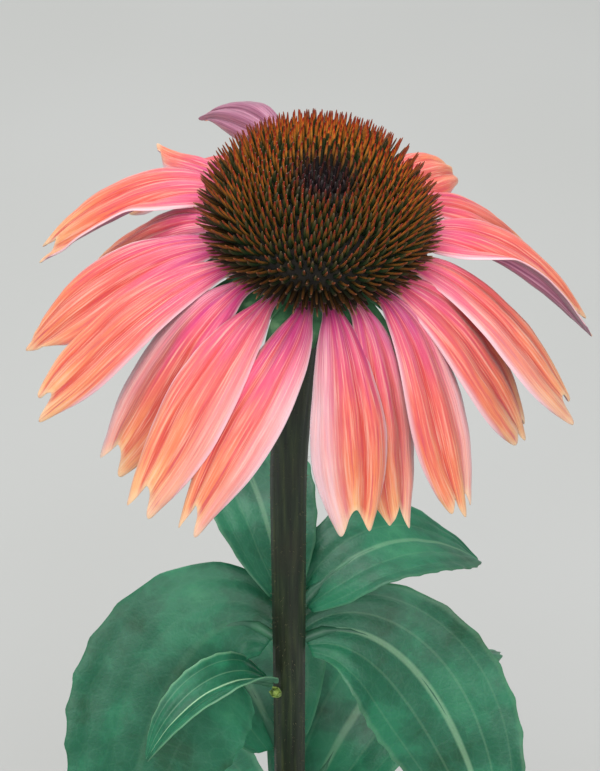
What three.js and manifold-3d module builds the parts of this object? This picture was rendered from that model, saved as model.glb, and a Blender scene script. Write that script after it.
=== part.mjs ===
// A coneflower in bloom, growing in a plain clay pot. Millimetres, +Z up.
// The origin is the centre of the pot's underside, and the bloom leans a little to +X and to -Y.
import * as THREE from "three";
import { mergeVertices } from "three/addons/utils/BufferGeometryUtils.js";
import Module from "manifold-3d";

// Driving dimensions
const POT_HEIGHT = 150;
const POT_TOP_RADIUS = 82;
const POT_FOOT_RADIUS = 58;
const POT_WALL = 7;
const POT_FLOOR = 9;
const RIM_HEIGHT = 32;
const RIM_OUT = 5;
const DRAIN_RADIUS = 6;
const DRAIN_RING = 30;
const DRAINS = 4;
const SOIL_HEIGHT = 134;
const SOIL_MOUND = 5;
const SOIL_LUMP = 1.6;
const GAP = 0.35;

const BLOOM_HEIGHT = 520;
const BLOOM_RIGHT = 5.4;
const BLOOM_FRONT = 3;
const LEAN_RIGHT = 5;
const LEAN_FRONT = 6;

const STEM_FOOT_RADIUS = 4.8;
const STEM_RADIUS = 3.5;
const STEM_NECK_RADIUS = 4.1;
const STEM_DEPTH = 40;

const PETAL_RING_RADIUS = 13;
const PETAL_RING_DROP = 3;
const PETAL_THICKNESS = 0.7;
const PETAL_ARCH = 0.13;
const PETAL_GROOVE = 0.35;

const SPINES = 250;
const SPINE_ROOT = 1.25;
const SPINE_SUNK = 2.2;

const BRACTS = 20;
const BRACT_THICKNESS = 0.8;

const LEAF_THICKNESS = 0.9;

const degrees = Math.PI / 180;
const clamp = THREE.MathUtils.clamp;
const smooth = THREE.MathUtils.smoothstep;

const wasm = await Module();
wasm.setup();

// Seeded random numbers from 0 to 1, the same on every run.
function seeded(seed) {
  let state = seed;
  return () => {
    state = (state * 1664525 + 1013904223) % 4294967296;
    return state / 4294967296;
  };
}

// A value read off a list of [place, value] pairs, straight between them.
function along(pairs, place) {
  let i = 0;
  while (i < pairs.length - 2 && place > pairs[i + 1][0]) i += 1;
  const [from, low] = pairs[i];
  const [to, high] = pairs[i + 1];
  return low + (high - low) * clamp((place - from) / (to - from), 0, 1);
}

// A closed geometry as a solid that can be joined and cut, and back again.
function solid(geometry) {
  const bare = geometry.clone();
  bare.deleteAttribute("normal");
  bare.deleteAttribute("uv");
  const merged = mergeVertices(bare, 1e-4);
  const mesh = new wasm.Mesh({
    numProp: 3,
    vertProperties: merged.attributes.position.array,
    triVerts: new Uint32Array(merged.index.array),
  });
  return new wasm.Manifold(mesh);
}

function geometryOf(body) {
  const mesh = body.getMesh();
  const geometry = new THREE.BufferGeometry();
  geometry.setAttribute("position", new THREE.BufferAttribute(new Float32Array(mesh.vertProperties), 3));
  geometry.setIndex(new THREE.BufferAttribute(new Uint32Array(mesh.triVerts), 1));
  return geometry;
}

// Solids joined pair by pair, which keeps the many small joins quick.
function joined(bodies) {
  let rest = bodies;
  while (rest.length > 1) {
    const next = [];
    for (let i = 0; i < rest.length; i += 2) {
      next.push(i + 1 < rest.length ? rest[i].add(rest[i + 1]) : rest[i]);
    }
    rest = next;
  }
  return rest[0];
}

function upright(radius, low, high, x, y, sides = 16) {
  const geometry = new THREE.CylinderGeometry(radius, radius, high - low, sides);
  geometry.rotateX(90 * degrees);
  geometry.translate(x, y, (low + high) / 2);
  return solid(geometry);
}

// A round body about the Z axis from an outline of [radius, height] points.
function turned(outline, sides) {
  const points = outline.map(([radius, height]) => new THREE.Vector2(radius, height));
  const geometry = new THREE.LatheGeometry(points, sides);
  geometry.rotateX(90 * degrees);
  return geometry;
}

// A closed thin sheet. middle(v, u) is a point of its middle surface, with v along it from 0 to 1
// and u across it from -1 to 1. Both faces are split into triangles the same way.
function sheet(middle, rows, columns, thickness) {
  const step = 1e-3;
  const across = columns.length;
  const positions = [];
  for (const side of [1, -1]) {
    for (const v of rows) {
      for (const u of columns) {
        const ahead = middle(Math.min(v + step, 1), u).sub(middle(Math.max(v - step, 0), u));
        const right = middle(v, Math.min(u + step, 1)).sub(middle(v, Math.max(u - step, -1)));
        const outward = right.cross(ahead).normalize();
        const point = middle(v, u).addScaledVector(outward, (side * thickness(v, u)) / 2);
        positions.push(point.x, point.y, point.z);
      }
    }
  }
  const under = rows.length * across;
  const index = [];
  for (let i = 0; i < rows.length - 1; i += 1) {
    for (let j = 0; j < across - 1; j += 1) {
      const a = i * across + j;
      const b = a + 1;
      const c = a + across;
      const d = c + 1;
      index.push(a, b, d, a, d, c);
      index.push(under + a, under + d, under + b, under + a, under + c, under + d);
    }
  }
  const rim = [];
  for (let j = 0; j < across - 1; j += 1) rim.push(j);
  for (let i = 0; i < rows.length - 1; i += 1) rim.push(i * across + across - 1);
  for (let j = across - 1; j > 0; j -= 1) rim.push((rows.length - 1) * across + j);
  for (let i = rows.length - 1; i > 0; i -= 1) rim.push(i * across);
  rim.forEach((a, k) => {
    const b = rim[(k + 1) % rim.length];
    index.push(a, under + a, under + b, a, under + b, b);
  });
  const geometry = new THREE.BufferGeometry();
  geometry.setAttribute("position", new THREE.Float32BufferAttribute(positions, 3));
  geometry.setIndex(index);
  return geometry;
}

// A closed round tube along a curve, with its radius given along it.
function tube(curve, radiusAt, steps, sides) {
  const positions = [];
  const up = new THREE.Vector3(0, 1, 0);
  for (let i = 0; i <= steps; i += 1) {
    const centre = curve.getPointAt(i / steps);
    const ahead = curve.getTangentAt(i / steps);
    const right = new THREE.Vector3().crossVectors(up, ahead).normalize();
    const over = new THREE.Vector3().crossVectors(ahead, right);
    for (let j = 0; j < sides; j += 1) {
      const turn = (j / sides) * 2 * Math.PI;
      const point = centre.clone();
      point.addScaledVector(right, radiusAt(i / steps) * Math.cos(turn));
      point.addScaledVector(over, radiusAt(i / steps) * Math.sin(turn));
      positions.push(point.x, point.y, point.z);
    }
  }
  const ends = [curve.getPointAt(0), curve.getPointAt(1)];
  ends.forEach((point) => positions.push(point.x, point.y, point.z));
  const first = (steps + 1) * sides;
  const index = [];
  for (let i = 0; i < steps; i += 1) {
    for (let j = 0; j < sides; j += 1) {
      const a = i * sides + j;
      const b = i * sides + ((j + 1) % sides);
      index.push(a, b, b + sides, a, b + sides, a + sides);
    }
  }
  for (let j = 0; j < sides; j += 1) {
    const next = (j + 1) % sides;
    index.push(first, next, j);
    index.push(first + 1, steps * sides + j, steps * sides + next);
  }
  const geometry = new THREE.BufferGeometry();
  geometry.setAttribute("position", new THREE.Float32BufferAttribute(positions, 3));
  geometry.setIndex(index);
  return geometry;
}

function steps(count) {
  return Array.from({ length: count + 1 }, (_, i) => i / count);
}

const materials = {
  clay: new THREE.MeshStandardMaterial({ color: "#b0654a", roughness: 0.9, metalness: 0 }),
  soil: new THREE.MeshStandardMaterial({ color: "#3b2c22", roughness: 1, metalness: 0 }),
  stem: new THREE.MeshStandardMaterial({ color: "#4a4a2c", roughness: 0.75, metalness: 0 }),
  leaf: new THREE.MeshStandardMaterial({ color: "#3f7f57", roughness: 0.6, metalness: 0 }),
  bud: new THREE.MeshStandardMaterial({ color: "#a9b94c", roughness: 0.6, metalness: 0 }),
  bract: new THREE.MeshStandardMaterial({ color: "#4c7a44", roughness: 0.65, metalness: 0 }),
  petal: new THREE.MeshStandardMaterial({ color: "#ee7f74", roughness: 0.55, metalness: 0 }),
  cone: new THREE.MeshStandardMaterial({ color: "#9c4a1c", roughness: 0.5, metalness: 0 }),
};

const plant = new THREE.Group();

function add(name, geometry, material, parent = plant) {
  const mesh = new THREE.Mesh(geometry, material.clone());
  mesh.name = name;
  parent.add(mesh);
  return mesh;
}

// The clay pot: a tapered wall, a thick collar at the rim and a floor with drain holes
function potOutline() {
  const shoulder = POT_HEIGHT - RIM_HEIGHT;
  const slope = (POT_TOP_RADIUS - POT_FOOT_RADIUS) / POT_HEIGHT;
  const outer = (height) => POT_FOOT_RADIUS + slope * height;
  const inner = (height) => outer(height) - POT_WALL;
  return [
    [0, 0],
    [POT_FOOT_RADIUS - 2, 0],
    [POT_FOOT_RADIUS, 2],
    [outer(shoulder), shoulder],
    [outer(shoulder) + RIM_OUT, shoulder + 2],
    [POT_TOP_RADIUS + RIM_OUT - 1, POT_HEIGHT - 2],
    [POT_TOP_RADIUS + RIM_OUT - 3, POT_HEIGHT],
    [inner(POT_HEIGHT) + 2, POT_HEIGHT],
    [inner(POT_HEIGHT), POT_HEIGHT - 2],
    [inner(POT_FLOOR), POT_FLOOR],
    [0, POT_FLOOR],
  ];
}

function potInside(height) {
  return POT_FOOT_RADIUS + ((POT_TOP_RADIUS - POT_FOOT_RADIUS) * height) / POT_HEIGHT - POT_WALL;
}

let pot = solid(turned(potOutline(), 36));
for (let i = 0; i < DRAINS; i += 1) {
  const turn = ((i + 0.5) / DRAINS) * 360 * degrees;
  const x = DRAIN_RING * Math.cos(turn);
  const y = DRAIN_RING * Math.sin(turn);
  pot = pot.subtract(upright(DRAIN_RADIUS, -1, POT_FLOOR + 1, x, y, 12));
}
add("pot", geometryOf(pot), materials.clay);

// The petals, each from its place on the ring under the cone.
// Columns: place on the ring, way it heads, reach, drop, lift at the root, fall at the tip, width, roll
// and how much narrower than usual it ends.
const PETALS = [
  [-171, -172, 39, 26, 26, 60, 13.5, 12, 0.1],
  [-156, -158, 40.5, 27.5, 20, 58, 13.5, -2, 0],
  [-139, -141.5, 32.5, 32.5, 22, 62, 14.5, 0, 0],
  [-120, -126.3, 39, 26.5, 22, 60, 13.5, -4, 0.1],
  [-97, -119.5, 39.5, 25.5, 26, 58, 14, -12, 0.3],
  [-80, -75.5, 31, 30, 25, 64, 14, -2, 0],
  [-63, -64, 29, 36, 22, 62, 12.5, 6, 0],
  [-44, -52, 34, 32, 22, 62, 13.2, 8, 0.1],
  [-31, -22.5, 33, 29.5, 26, 74, 17, 4, 0.1],
  [-12, -19, 40.5, 25.5, 24, 55, 14, 14, 0],
  [8, 0.5, 41.7, 22, 26, 60, 13, -6, 0.42],
  [28, 20, 36, 23, 44, 66, 10, 4, 0.4],
  [40, 38, 22, 9, 80, 80, 11.5, -10, 0.2],
  [66, 66, 34, 28, 26, 60, 13, 0, 0],
  [86, 84, 34, 28, 24, 60, 13, 0, 0],
  [106, 124, 32, 10, 50, 62, 9, 44, 0.5],
  [127, 140, 33, 27, 22, 60, 13, 0, 0],
  [140, 127, 32, 12, 42, 20, 10, -20, 0.3],
  [152, 169, 39.5, 23, 44, 62, 13.5, 16, 0.3],
  [172, 157, 31, 27, 32, 60, 12, 6, 0],
];
const PETAL_OUTLINE = [
  [0, 0.2], [0.1, 0.28], [0.18, 0.48], [0.3, 0.7], [0.5, 0.94], [0.68, 1], [0.82, 0.88], [0.93, 0.66],
  [1, 0.5],
];
// How far the tip is cut back, as a share of the length, by the place across it.
const PETAL_NOTCH = [[-1, 0.07], [-0.5, 0], [0, 0.06], [0.5, 0.005], [1, 0.08]];
const PETAL_ROWS = 8;
const PETAL_COLUMNS = [-1, -0.5, 0, 0.5, 1];
// How far its curve's two handles reach from the ends, as shares of the straight line between them.
const ROOT_PULL = 0.36;
const TIP_PULL = 0.34;
// The roll has grown to its full angle at this share of the length.
const PETAL_ROLLED = 0.5;

// A cubic curve that leaves its start at one slope and comes down to its end at another.
function arch([at, heads, reach, drop, lift, fall]) {
  const out = new THREE.Vector3(Math.cos(at * degrees), Math.sin(at * degrees), 0);
  const on = new THREE.Vector3(Math.cos(heads * degrees), Math.sin(heads * degrees), 0);
  const start = out.clone().multiplyScalar(PETAL_RING_RADIUS).setZ(-PETAL_RING_DROP);
  const end = start.clone().addScaledVector(on, reach);
  end.z -= drop;
  const chord = start.distanceTo(end);
  const first = start.clone().addScaledVector(out, ROOT_PULL * chord * Math.cos(lift * degrees));
  first.z += ROOT_PULL * chord * Math.sin(lift * degrees);
  const second = end.clone().addScaledVector(on, -TIP_PULL * chord * Math.cos(fall * degrees));
  second.z += TIP_PULL * chord * Math.sin(fall * degrees);
  return new THREE.CubicBezierCurve3(start, first, second, end);
}

function petalSheet(petal) {
  const [width, roll, taper] = petal.slice(6);
  const curve = arch(petal);
  const up = new THREE.Vector3(0, 0, 1);
  const middle = (v, u) => {
    const s = v - along(PETAL_NOTCH, u) * v ** 6;
    const ahead = curve.getTangentAt(s);
    const right = new THREE.Vector3().crossVectors(ahead, up).normalize();
    const over = new THREE.Vector3().crossVectors(right, ahead);
    const turn = roll * clamp(s / PETAL_ROLLED, 0, 1) * degrees;
    const side = right.clone().multiplyScalar(Math.cos(turn)).addScaledVector(over, Math.sin(turn));
    const face = over.clone().multiplyScalar(Math.cos(turn)).addScaledVector(right, -Math.sin(turn));
    const half = (along(PETAL_OUTLINE, s) * (1 - taper * smooth(s, 0.4, 1)) * width) / 2;
    const groove = PETAL_GROOVE * (1 - Math.cos(3 * Math.PI * u)) * smooth(s, 0, 0.3) * 0.5;
    const point = curve.getPointAt(s);
    return point.addScaledVector(side, half * u).addScaledVector(face, -PETAL_ARCH * width * u * u - groove);
  };
  return sheet(middle, steps(PETAL_ROWS), PETAL_COLUMNS, () => PETAL_THICKNESS);
}

// The bloom's own frame: its Z axis runs out of the middle of the cone
const bloom = new THREE.Group();
const bloomUp = new THREE.Vector3(Math.tan(LEAN_RIGHT * degrees), -Math.tan(LEAN_FRONT * degrees), 1);
bloomUp.normalize();
const bloomRight = new THREE.Vector3(1, 0, 0).addScaledVector(bloomUp, -bloomUp.x).normalize();
const bloomBack = new THREE.Vector3().crossVectors(bloomUp, bloomRight);
const bloomTurn = new THREE.Matrix4().makeBasis(bloomRight, bloomBack, bloomUp);
bloom.position.set(BLOOM_RIGHT, -BLOOM_FRONT, BLOOM_HEIGHT);
bloom.quaternion.setFromRotationMatrix(bloomTurn);
plant.add(bloom);

// The petals' bases are joined by a ring under the edge of the cone, given as [radius, height].
const PETAL_RING = [[8, -4.2], [13.9, -4.2], [13.9, -0.9], [8, -0.9], [8, -4.2]];
const petalRing = solid(turned(PETAL_RING, 20));
const petals = joined([petalRing, ...PETALS.map((petal) => solid(petalSheet(petal)))]);
add("ray_petals", geometryOf(petals), materials.petal, bloom);

// The cone: a domed core covered with stiff spines in a sunflower spiral
const CORE = [
  [0, -0.5], [14.2, -0.5], [15.8, 0.6], [16.4, 3.2], [15.6, 6.2], [13.2, 9.2], [9.6, 11.4], [5, 12.5],
  [0, 12.7],
];
const SPINE_TIPS = [
  [0, 16.6], [5, 17.3], [10, 16.8], [15, 14.7], [19, 12], [21.3, 8.5], [21.6, 5], [20, 2.2], [18.4, 0.9],
];
const SPINE_ROOTS = [
  [0, 12.2], [4, 12], [8, 11.2], [11.6, 9], [14.2, 6.4], [15.4, 4.2], [15.4, 2.4], [14.6, 1.2], [13.6, 0.8],
];
const GOLDEN_ANGLE = 137.508;
const tipCurve = new THREE.SplineCurve(SPINE_TIPS.map(([r, z]) => new THREE.Vector2(r, z)));
const rootCurve = new THREE.SplineCurve(SPINE_ROOTS.map(([r, z]) => new THREE.Vector2(r, z)));

function spine(root, tip) {
  const length = root.distanceTo(tip) + SPINE_SUNK;
  const geometry = new THREE.ConeGeometry(SPINE_ROOT, length, 3);
  geometry.translate(0, length / 2, 0);
  const ahead = tip.clone().sub(root).normalize();
  geometry.applyQuaternion(new THREE.Quaternion().setFromUnitVectors(new THREE.Vector3(0, 1, 0), ahead));
  const start = root.clone().addScaledVector(ahead, -SPINE_SUNK);
  geometry.translate(start.x, start.y, start.z);
  return solid(geometry);
}

// Places along the root curve that give every spine the same share of the dome's surface.
function evenPlaces(count) {
  const cuts = 400;
  const area = [0];
  for (let k = 1; k <= cuts; k += 1) area.push(area[k - 1] + rootCurve.getPointAt(k / cuts).x);
  const places = [];
  let k = 0;
  for (let i = 0; i < count; i += 1) {
    while (area[k] < (area[cuts] * (i + 0.5)) / count) k += 1;
    places.push(k / cuts);
  }
  return places;
}

function spines() {
  const bodies = [];
  const places = evenPlaces(SPINES);
  for (let i = 0; i < SPINES; i += 1) {
    const t = places[i];
    const turn = i * GOLDEN_ANGLE * degrees;
    const root = rootCurve.getPointAt(t);
    const tip = tipCurve.getPointAt(t);
    const from = new THREE.Vector3(root.x * Math.cos(turn), root.x * Math.sin(turn), root.y);
    const to = new THREE.Vector3(tip.x * Math.cos(turn), tip.x * Math.sin(turn), tip.y);
    bodies.push(spine(from, to));
  }
  return bodies;
}
add("cone", geometryOf(joined([solid(turned(CORE, 24)), ...spines()])), materials.cone, bloom);

// The green cup under the petals, with its pointed bracts, which are long and short in turn
const CUP_HEIGHT = -9;
const CUP = [
  [0, CUP_HEIGHT], [5, CUP_HEIGHT], [9.5, -7.6], [12.2, -5.6], [12.2, -4.6], [0, -4.6],
];
const BRACT_ROOT = [10.6, -5.8];
const BRACT_CREST = 0.6;
const BRACT_HALF_WIDTH = [[0, 1.5], [0.3, 1.7], [0.7, 1.1], [1, 0.25]];
const BRACT_ARCH = 0.25;
// Columns: length, sag.
const BRACT_KINDS = [
  [12, 2.8],
  [15.5, 5],
];

function bract(turn, [length, sag]) {
  const [radius, height] = BRACT_ROOT;
  const start = new THREE.Vector3(radius, 0, height);
  const crest = new THREE.Vector3(radius + 0.45 * length, 0, height + BRACT_CREST);
  const end = new THREE.Vector3(radius + length, 0, height - sag);
  const curve = new THREE.QuadraticBezierCurve3(start, crest, end);
  const middle = (v, u) => {
    const point = curve.getPointAt(v);
    point.y += u * along(BRACT_HALF_WIDTH, v);
    point.z -= BRACT_ARCH * u * u;
    return point;
  };
  const geometry = sheet(middle, steps(3), [-1, 0, 1], () => BRACT_THICKNESS);
  geometry.rotateZ(turn);
  return solid(geometry);
}

const bracts = [];
for (let i = 0; i < BRACTS; i += 1) {
  const turn = ((i + 0.3) / BRACTS) * 360 * degrees;
  bracts.push(bract(turn, BRACT_KINDS[i % 2]));
}
add("bracts", geometryOf(joined([solid(turned(CUP, 20)), ...bracts])), materials.bract, bloom);

// The stem, straight from the soil and bent over its last stretch to the bloom
const BEND_BELOW = 74;
const BEND_PULL = 26;
const NECK_PULL = 22;
const neck = new THREE.Vector3(0, 0, CUP_HEIGHT - GAP).applyMatrix4(bloomTurn).add(bloom.position);
const stemCurve = new THREE.CurvePath();
const bend = new THREE.Vector3(0, 0, BLOOM_HEIGHT - BEND_BELOW);
const stemFoot = new THREE.Vector3(0, 0, SOIL_HEIGHT - STEM_DEPTH);
stemCurve.add(new THREE.LineCurve3(stemFoot, bend));
const bendOut = bend.clone().setZ(bend.z + BEND_PULL);
const bendIn = neck.clone().addScaledVector(bloomUp, -NECK_PULL);
stemCurve.add(new THREE.CubicBezierCurve3(bend, bendOut, bendIn, neck));
const STEM_TAPER = [
  [0, STEM_FOOT_RADIUS], [0.25, 4.2], [0.6, STEM_RADIUS], [0.9, 3.75], [1, STEM_NECK_RADIUS],
];
const stem = tube(stemCurve, (s) => along(STEM_TAPER, s), 18, 10);
add("stem", stem, materials.stem);

// Leaves: lance shaped, folded a little along the rib, with waved and toothed edges.
// A leaf that rises from the soil has a long stalk, and one on the stem nearly none.
const LEAF_OUTLINE = [
  [0, 0.14], [0.05, 0.4], [0.15, 0.73], [0.3, 0.95], [0.45, 1], [0.62, 0.87], [0.8, 0.58], [0.92, 0.27],
  [1, 0.05],
];
const LEAF_COLUMNS = [-1, -0.5, 0, 0.5, 1];
const BLADE_ROWS = 12;
const LONG_STALK_ROWS = 4;
const LEAF_TOOTH = 0.05;
const RIB_THICKNESS = 2.6;
const LEAF_USUAL = { stalk: 0.05, stalkHalf: 1.3, fold: 12, wave: 0.07, waves: 2.5, roll: 0 };

function leafSheet(leaf) {
  const { path, width, stalk, stalkHalf, fold, wave, waves, roll } = { ...LEAF_USUAL, ...leaf };
  const curve = new THREE.CubicBezierCurve3(...path.map((point) => new THREE.Vector3(...point)));
  const up = new THREE.Vector3(0, 0, 1);
  const rows = [];
  const stalkRows = stalk > 0.2 ? LONG_STALK_ROWS : 1;
  for (let i = 0; i < stalkRows; i += 1) rows.push((i / stalkRows) * stalk);
  for (let i = 0; i <= BLADE_ROWS; i += 1) rows.push(stalk + (i / BLADE_ROWS) * (1 - stalk));
  const turn = roll * degrees;
  const middle = (v, u) => {
    const ahead = curve.getTangentAt(v);
    const right = new THREE.Vector3().crossVectors(ahead, up).normalize();
    const over = new THREE.Vector3().crossVectors(right, ahead);
    const side = right.clone().multiplyScalar(Math.cos(turn)).addScaledVector(over, Math.sin(turn));
    const face = over.clone().multiplyScalar(Math.cos(turn)).addScaledVector(right, -Math.sin(turn));
    const b = clamp((v - stalk) / (1 - stalk), 0, 1);
    const row = Math.round(b * BLADE_ROWS);
    const tooth = row % 2 && row < BLADE_ROWS ? LEAF_TOOTH : 0;
    const shape = along(LEAF_OUTLINE, b) * (1 + tooth * u * u);
    const half = v <= stalk ? stalkHalf : Math.max(stalkHalf, (shape * width) / 2);
    const blade = v <= stalk ? 0 : half / (width / 2);
    const ripple = wave * width * blade * Math.sin(2 * Math.PI * waves * b + (u > 0 ? 0.9 : 0)) * u * u;
    const lifted = half * Math.abs(u) * Math.sin(fold * degrees) * blade + ripple;
    const point = curve.getPointAt(v);
    return point.addScaledVector(side, half * u * Math.cos(fold * degrees)).addScaledVector(face, lifted);
  };
  const ribEnd = stalk + 0.7 * (1 - stalk);
  const rib = (v) => THREE.MathUtils.lerp(RIB_THICKNESS, LEAF_THICKNESS, smooth(v, 0, ribEnd));
  const thickness = (v, u) => (v <= stalk || u === 0 ? rib(v) : LEAF_THICKNESS);
  return sheet(middle, rows, LEAF_COLUMNS, thickness);
}

// Leaves on the stem, from the top down: the two large ones that arch out below the bloom come first
const STEM_LEAVES = {
  leaf_left: {
    path: [[-4.4, 3.2, 398], [-14, 9, 402], [-31, 3, 393], [-38, -28, 350]],
    width: 42, roll: 26, fold: 8, wave: 0.05,
  },
  leaf_right: {
    path: [[4.6, 2.4, 398], [16, 6, 402], [37, 0, 393], [46, -28, 352]],
    width: 31, roll: -28, fold: 8, wave: 0.05,
  },
  leaf_small: {
    path: [[-4.9, -4.2, 390], [-11.5, -11.5, 403], [-22, -18, 403], [-30, -24, 389]],
    width: 14, stalk: 0.06, stalkHalf: 0.9, fold: 38, wave: 0.04, waves: 2, roll: -6,
  },
  leaf_right_back: {
    path: [[4, 4.6, 408], [16, 14, 419], [31, 23, 409], [43, 31, 389]],
    width: 26, fold: 10, wave: 0.05, waves: 2,
  },
  leaf_back: {
    path: [[-1.2, 5.6, 410], [-6, 22, 424], [-12, 44, 418], [-17, 66, 392]],
    width: 26, fold: 10, wave: 0.05, waves: 2,
  },
  leaf_low_back_left: {
    path: [[-3.2, 4.6, 356], [-12, 24, 366], [-22, 50, 346], [-28, 66, 290]],
    width: 52,
  },
  leaf_front: {
    path: [[-0.9, -5.4, 336], [-7, -34, 356], [-13, -68, 344], [-16, -96, 296]],
    width: 36, stalk: 0.07,
  },
  leaf_low_back: {
    path: [[2.8, 4.8, 326], [18, 33, 344], [34, 64, 328], [46, 90, 276]],
    width: 48, stalk: 0.08,
  },
  leaf_low_left: {
    path: [[-5.6, -1.2, 262], [-44, -10, 290], [-88, -24, 276], [-124, -37, 220]],
    width: 44, stalk: 0.14,
  },
  leaf_low_right: {
    path: [[5.6, -2.1, 224], [46, -16, 254], [92, -33, 242], [128, -48, 186]],
    width: 46, stalk: 0.16,
  },
};
Object.entries(STEM_LEAVES).forEach(([name, leaf]) => add(name, leafSheet(leaf), materials.leaf));

// Leaves on long stalks out of the soil, round the foot of the stem
// Columns: way it heads, start radius, peak height, reach, tip height, width.
const GROUND_LEAVES = [
  [10, 17, 246, 142, 168, 50],
  [58, 18, 228, 124, 152, 44],
  [104, 17, 262, 134, 186, 46],
  [152, 18, 236, 146, 158, 52],
  [206, 18, 222, 128, 148, 44],
  [252, 17, 232, 134, 154, 48],
  [310, 18, 242, 138, 160, 50],
];
const STALK_SUNK = 14;
const STALK_HALF = 1.8;
const STALK_HOLE = 4.2;

function groundPoint(heading, radius, height) {
  return [radius * Math.cos(heading * degrees), radius * Math.sin(heading * degrees), height];
}
GROUND_LEAVES.forEach(([heading, start, peak, reach, tip, width], i) => {
  const path = [
    groundPoint(heading, start, SOIL_HEIGHT - STALK_SUNK),
    groundPoint(heading, start + 3, peak - 42),
    groundPoint(heading + 6, reach * 0.5, peak + 18),
    groundPoint(heading + 10, reach, tip),
  ];
  const leaf = { path, width, stalk: 0.4, stalkHalf: STALK_HALF, waves: 2.5 + 0.2 * i };
  add(`leaf_ground_${i + 1}`, leafSheet(leaf), materials.leaf);
});

// The tiny bud in the axil of the small leaf, wrapped in three scales
const BUD_AT = [-2.7, -4.4, 386.5];
const BUD_RADIUS = 1.1;
const BUD_HALF_HEIGHT = 2.1;
const BUD_SCALES = 3;
const BUD_SCALE_RADIUS = 0.75;
const BUD_SCALE_LENGTH = 3.2;
const BUD_SCALE_FLARE = 14;
const BUD_FORWARD = 24;
const BUD_LEFT = 18;
const budCore = new THREE.SphereGeometry(1, 8, 6);
budCore.scale(BUD_RADIUS, BUD_RADIUS, BUD_HALF_HEIGHT);
const budParts = [solid(budCore)];
for (let i = 0; i < BUD_SCALES; i += 1) {
  const scale = new THREE.ConeGeometry(BUD_SCALE_RADIUS, BUD_SCALE_LENGTH, 4);
  scale.rotateX(90 * degrees);
  scale.rotateY(BUD_SCALE_FLARE * degrees);
  scale.translate(BUD_SCALE_RADIUS, 0, 0.9);
  scale.rotateZ(((i / BUD_SCALES) * 360 + 30) * degrees);
  budParts.push(solid(scale));
}
const bud = geometryOf(joined(budParts));
bud.rotateX(BUD_FORWARD * degrees);
bud.rotateY(-BUD_LEFT * degrees);
bud.translate(...BUD_AT);
add("axil_bud", bud, materials.bud);

// The soil, mounded and a little lumpy, with a hole for the stem and one for each stalk
function soilBody() {
  const random = seeded(41);
  const sides = 30;
  const rings = 5;
  const top = (radius) => SOIL_HEIGHT + SOIL_MOUND * (1 - (radius / potInside(SOIL_HEIGHT)) ** 2);
  const edge = potInside(SOIL_HEIGHT) - GAP;
  const low = POT_FLOOR + GAP;
  const positions = [0, 0, top(0)];
  for (let i = 1; i <= rings; i += 1) {
    for (let j = 0; j < sides; j += 1) {
      const radius = (edge * i) / rings;
      const turn = (j / sides) * 2 * Math.PI;
      const lump = i < rings ? (random() - 0.5) * 2 * SOIL_LUMP : 0;
      positions.push(radius * Math.cos(turn), radius * Math.sin(turn), top(radius) + lump);
    }
  }
  for (let j = 0; j < sides; j += 1) {
    const turn = (j / sides) * 2 * Math.PI;
    const radius = potInside(low) - GAP;
    positions.push(radius * Math.cos(turn), radius * Math.sin(turn), low);
  }
  positions.push(0, 0, low);
  const at = (i, j) => 1 + i * sides + (j % sides);
  const last = 1 + (rings + 1) * sides;
  const index = [];
  for (let j = 0; j < sides; j += 1) {
    index.push(0, at(0, j), at(0, j + 1));
    for (let i = 0; i < rings; i += 1) {
      index.push(at(i, j), at(i + 1, j), at(i + 1, j + 1), at(i, j), at(i + 1, j + 1), at(i, j + 1));
    }
    index.push(last, at(rings, j + 1), at(rings, j));
  }
  const geometry = new THREE.BufferGeometry();
  geometry.setAttribute("position", new THREE.Float32BufferAttribute(positions, 3));
  geometry.setIndex(index);
  return solid(geometry);
}

let soil = soilBody();
const above = SOIL_HEIGHT + 20;
soil = soil.subtract(upright(STEM_FOOT_RADIUS + GAP, SOIL_HEIGHT - STEM_DEPTH - GAP, above, 0, 0, 12));
GROUND_LEAVES.forEach(([heading, start]) => {
  const [x, y] = groundPoint(heading, start + 0.8, 0);
  soil = soil.subtract(upright(STALK_HOLE, SOIL_HEIGHT - STALK_SUNK - GAP, above, x, y, 8));
});
add("soil", geometryOf(soil), materials.soil);

export default plant;
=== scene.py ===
import math
import random

import bmesh
import bpy
from mathutils import Matrix, Vector


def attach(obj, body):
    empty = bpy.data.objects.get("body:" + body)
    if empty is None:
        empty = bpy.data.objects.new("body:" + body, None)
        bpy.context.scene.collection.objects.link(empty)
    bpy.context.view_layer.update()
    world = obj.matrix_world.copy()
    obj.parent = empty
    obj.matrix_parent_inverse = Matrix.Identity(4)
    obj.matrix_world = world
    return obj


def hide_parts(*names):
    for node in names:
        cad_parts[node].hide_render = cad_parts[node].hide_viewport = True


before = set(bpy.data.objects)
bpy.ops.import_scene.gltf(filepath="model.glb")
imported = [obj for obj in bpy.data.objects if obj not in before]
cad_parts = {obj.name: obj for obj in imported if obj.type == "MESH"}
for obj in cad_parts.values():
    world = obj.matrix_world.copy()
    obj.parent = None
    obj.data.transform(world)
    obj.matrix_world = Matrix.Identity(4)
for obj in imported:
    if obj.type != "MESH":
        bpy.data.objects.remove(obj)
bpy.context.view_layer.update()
MM = 0.001

# The pot: terracotta thrown on a wheel and fired without a glaze, with a thick collar at the rim.
# Four drain holes were cut through its floor, and the plant stands in it held by the soil alone.
POT_SIDES = 96
POT_OUTLINE = [
    (56, 0), (58, 2), (62.5, 28), (69.7, 73), (76.9, 118), (81.9, 120), (83.9, 134), (86, 148), (84, 150),
    (77, 150), (75, 148), (72.4, 132), (66, 92), (59.2, 50), (52.4, 9),
]
DRAIN_HOLES = 4
DRAIN_RADIUS = 6
DRAIN_RING = 30
DRILL_LENGTH = 30
DRILL_HEIGHT = 5
WORN_EDGE = 0.9


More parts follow.
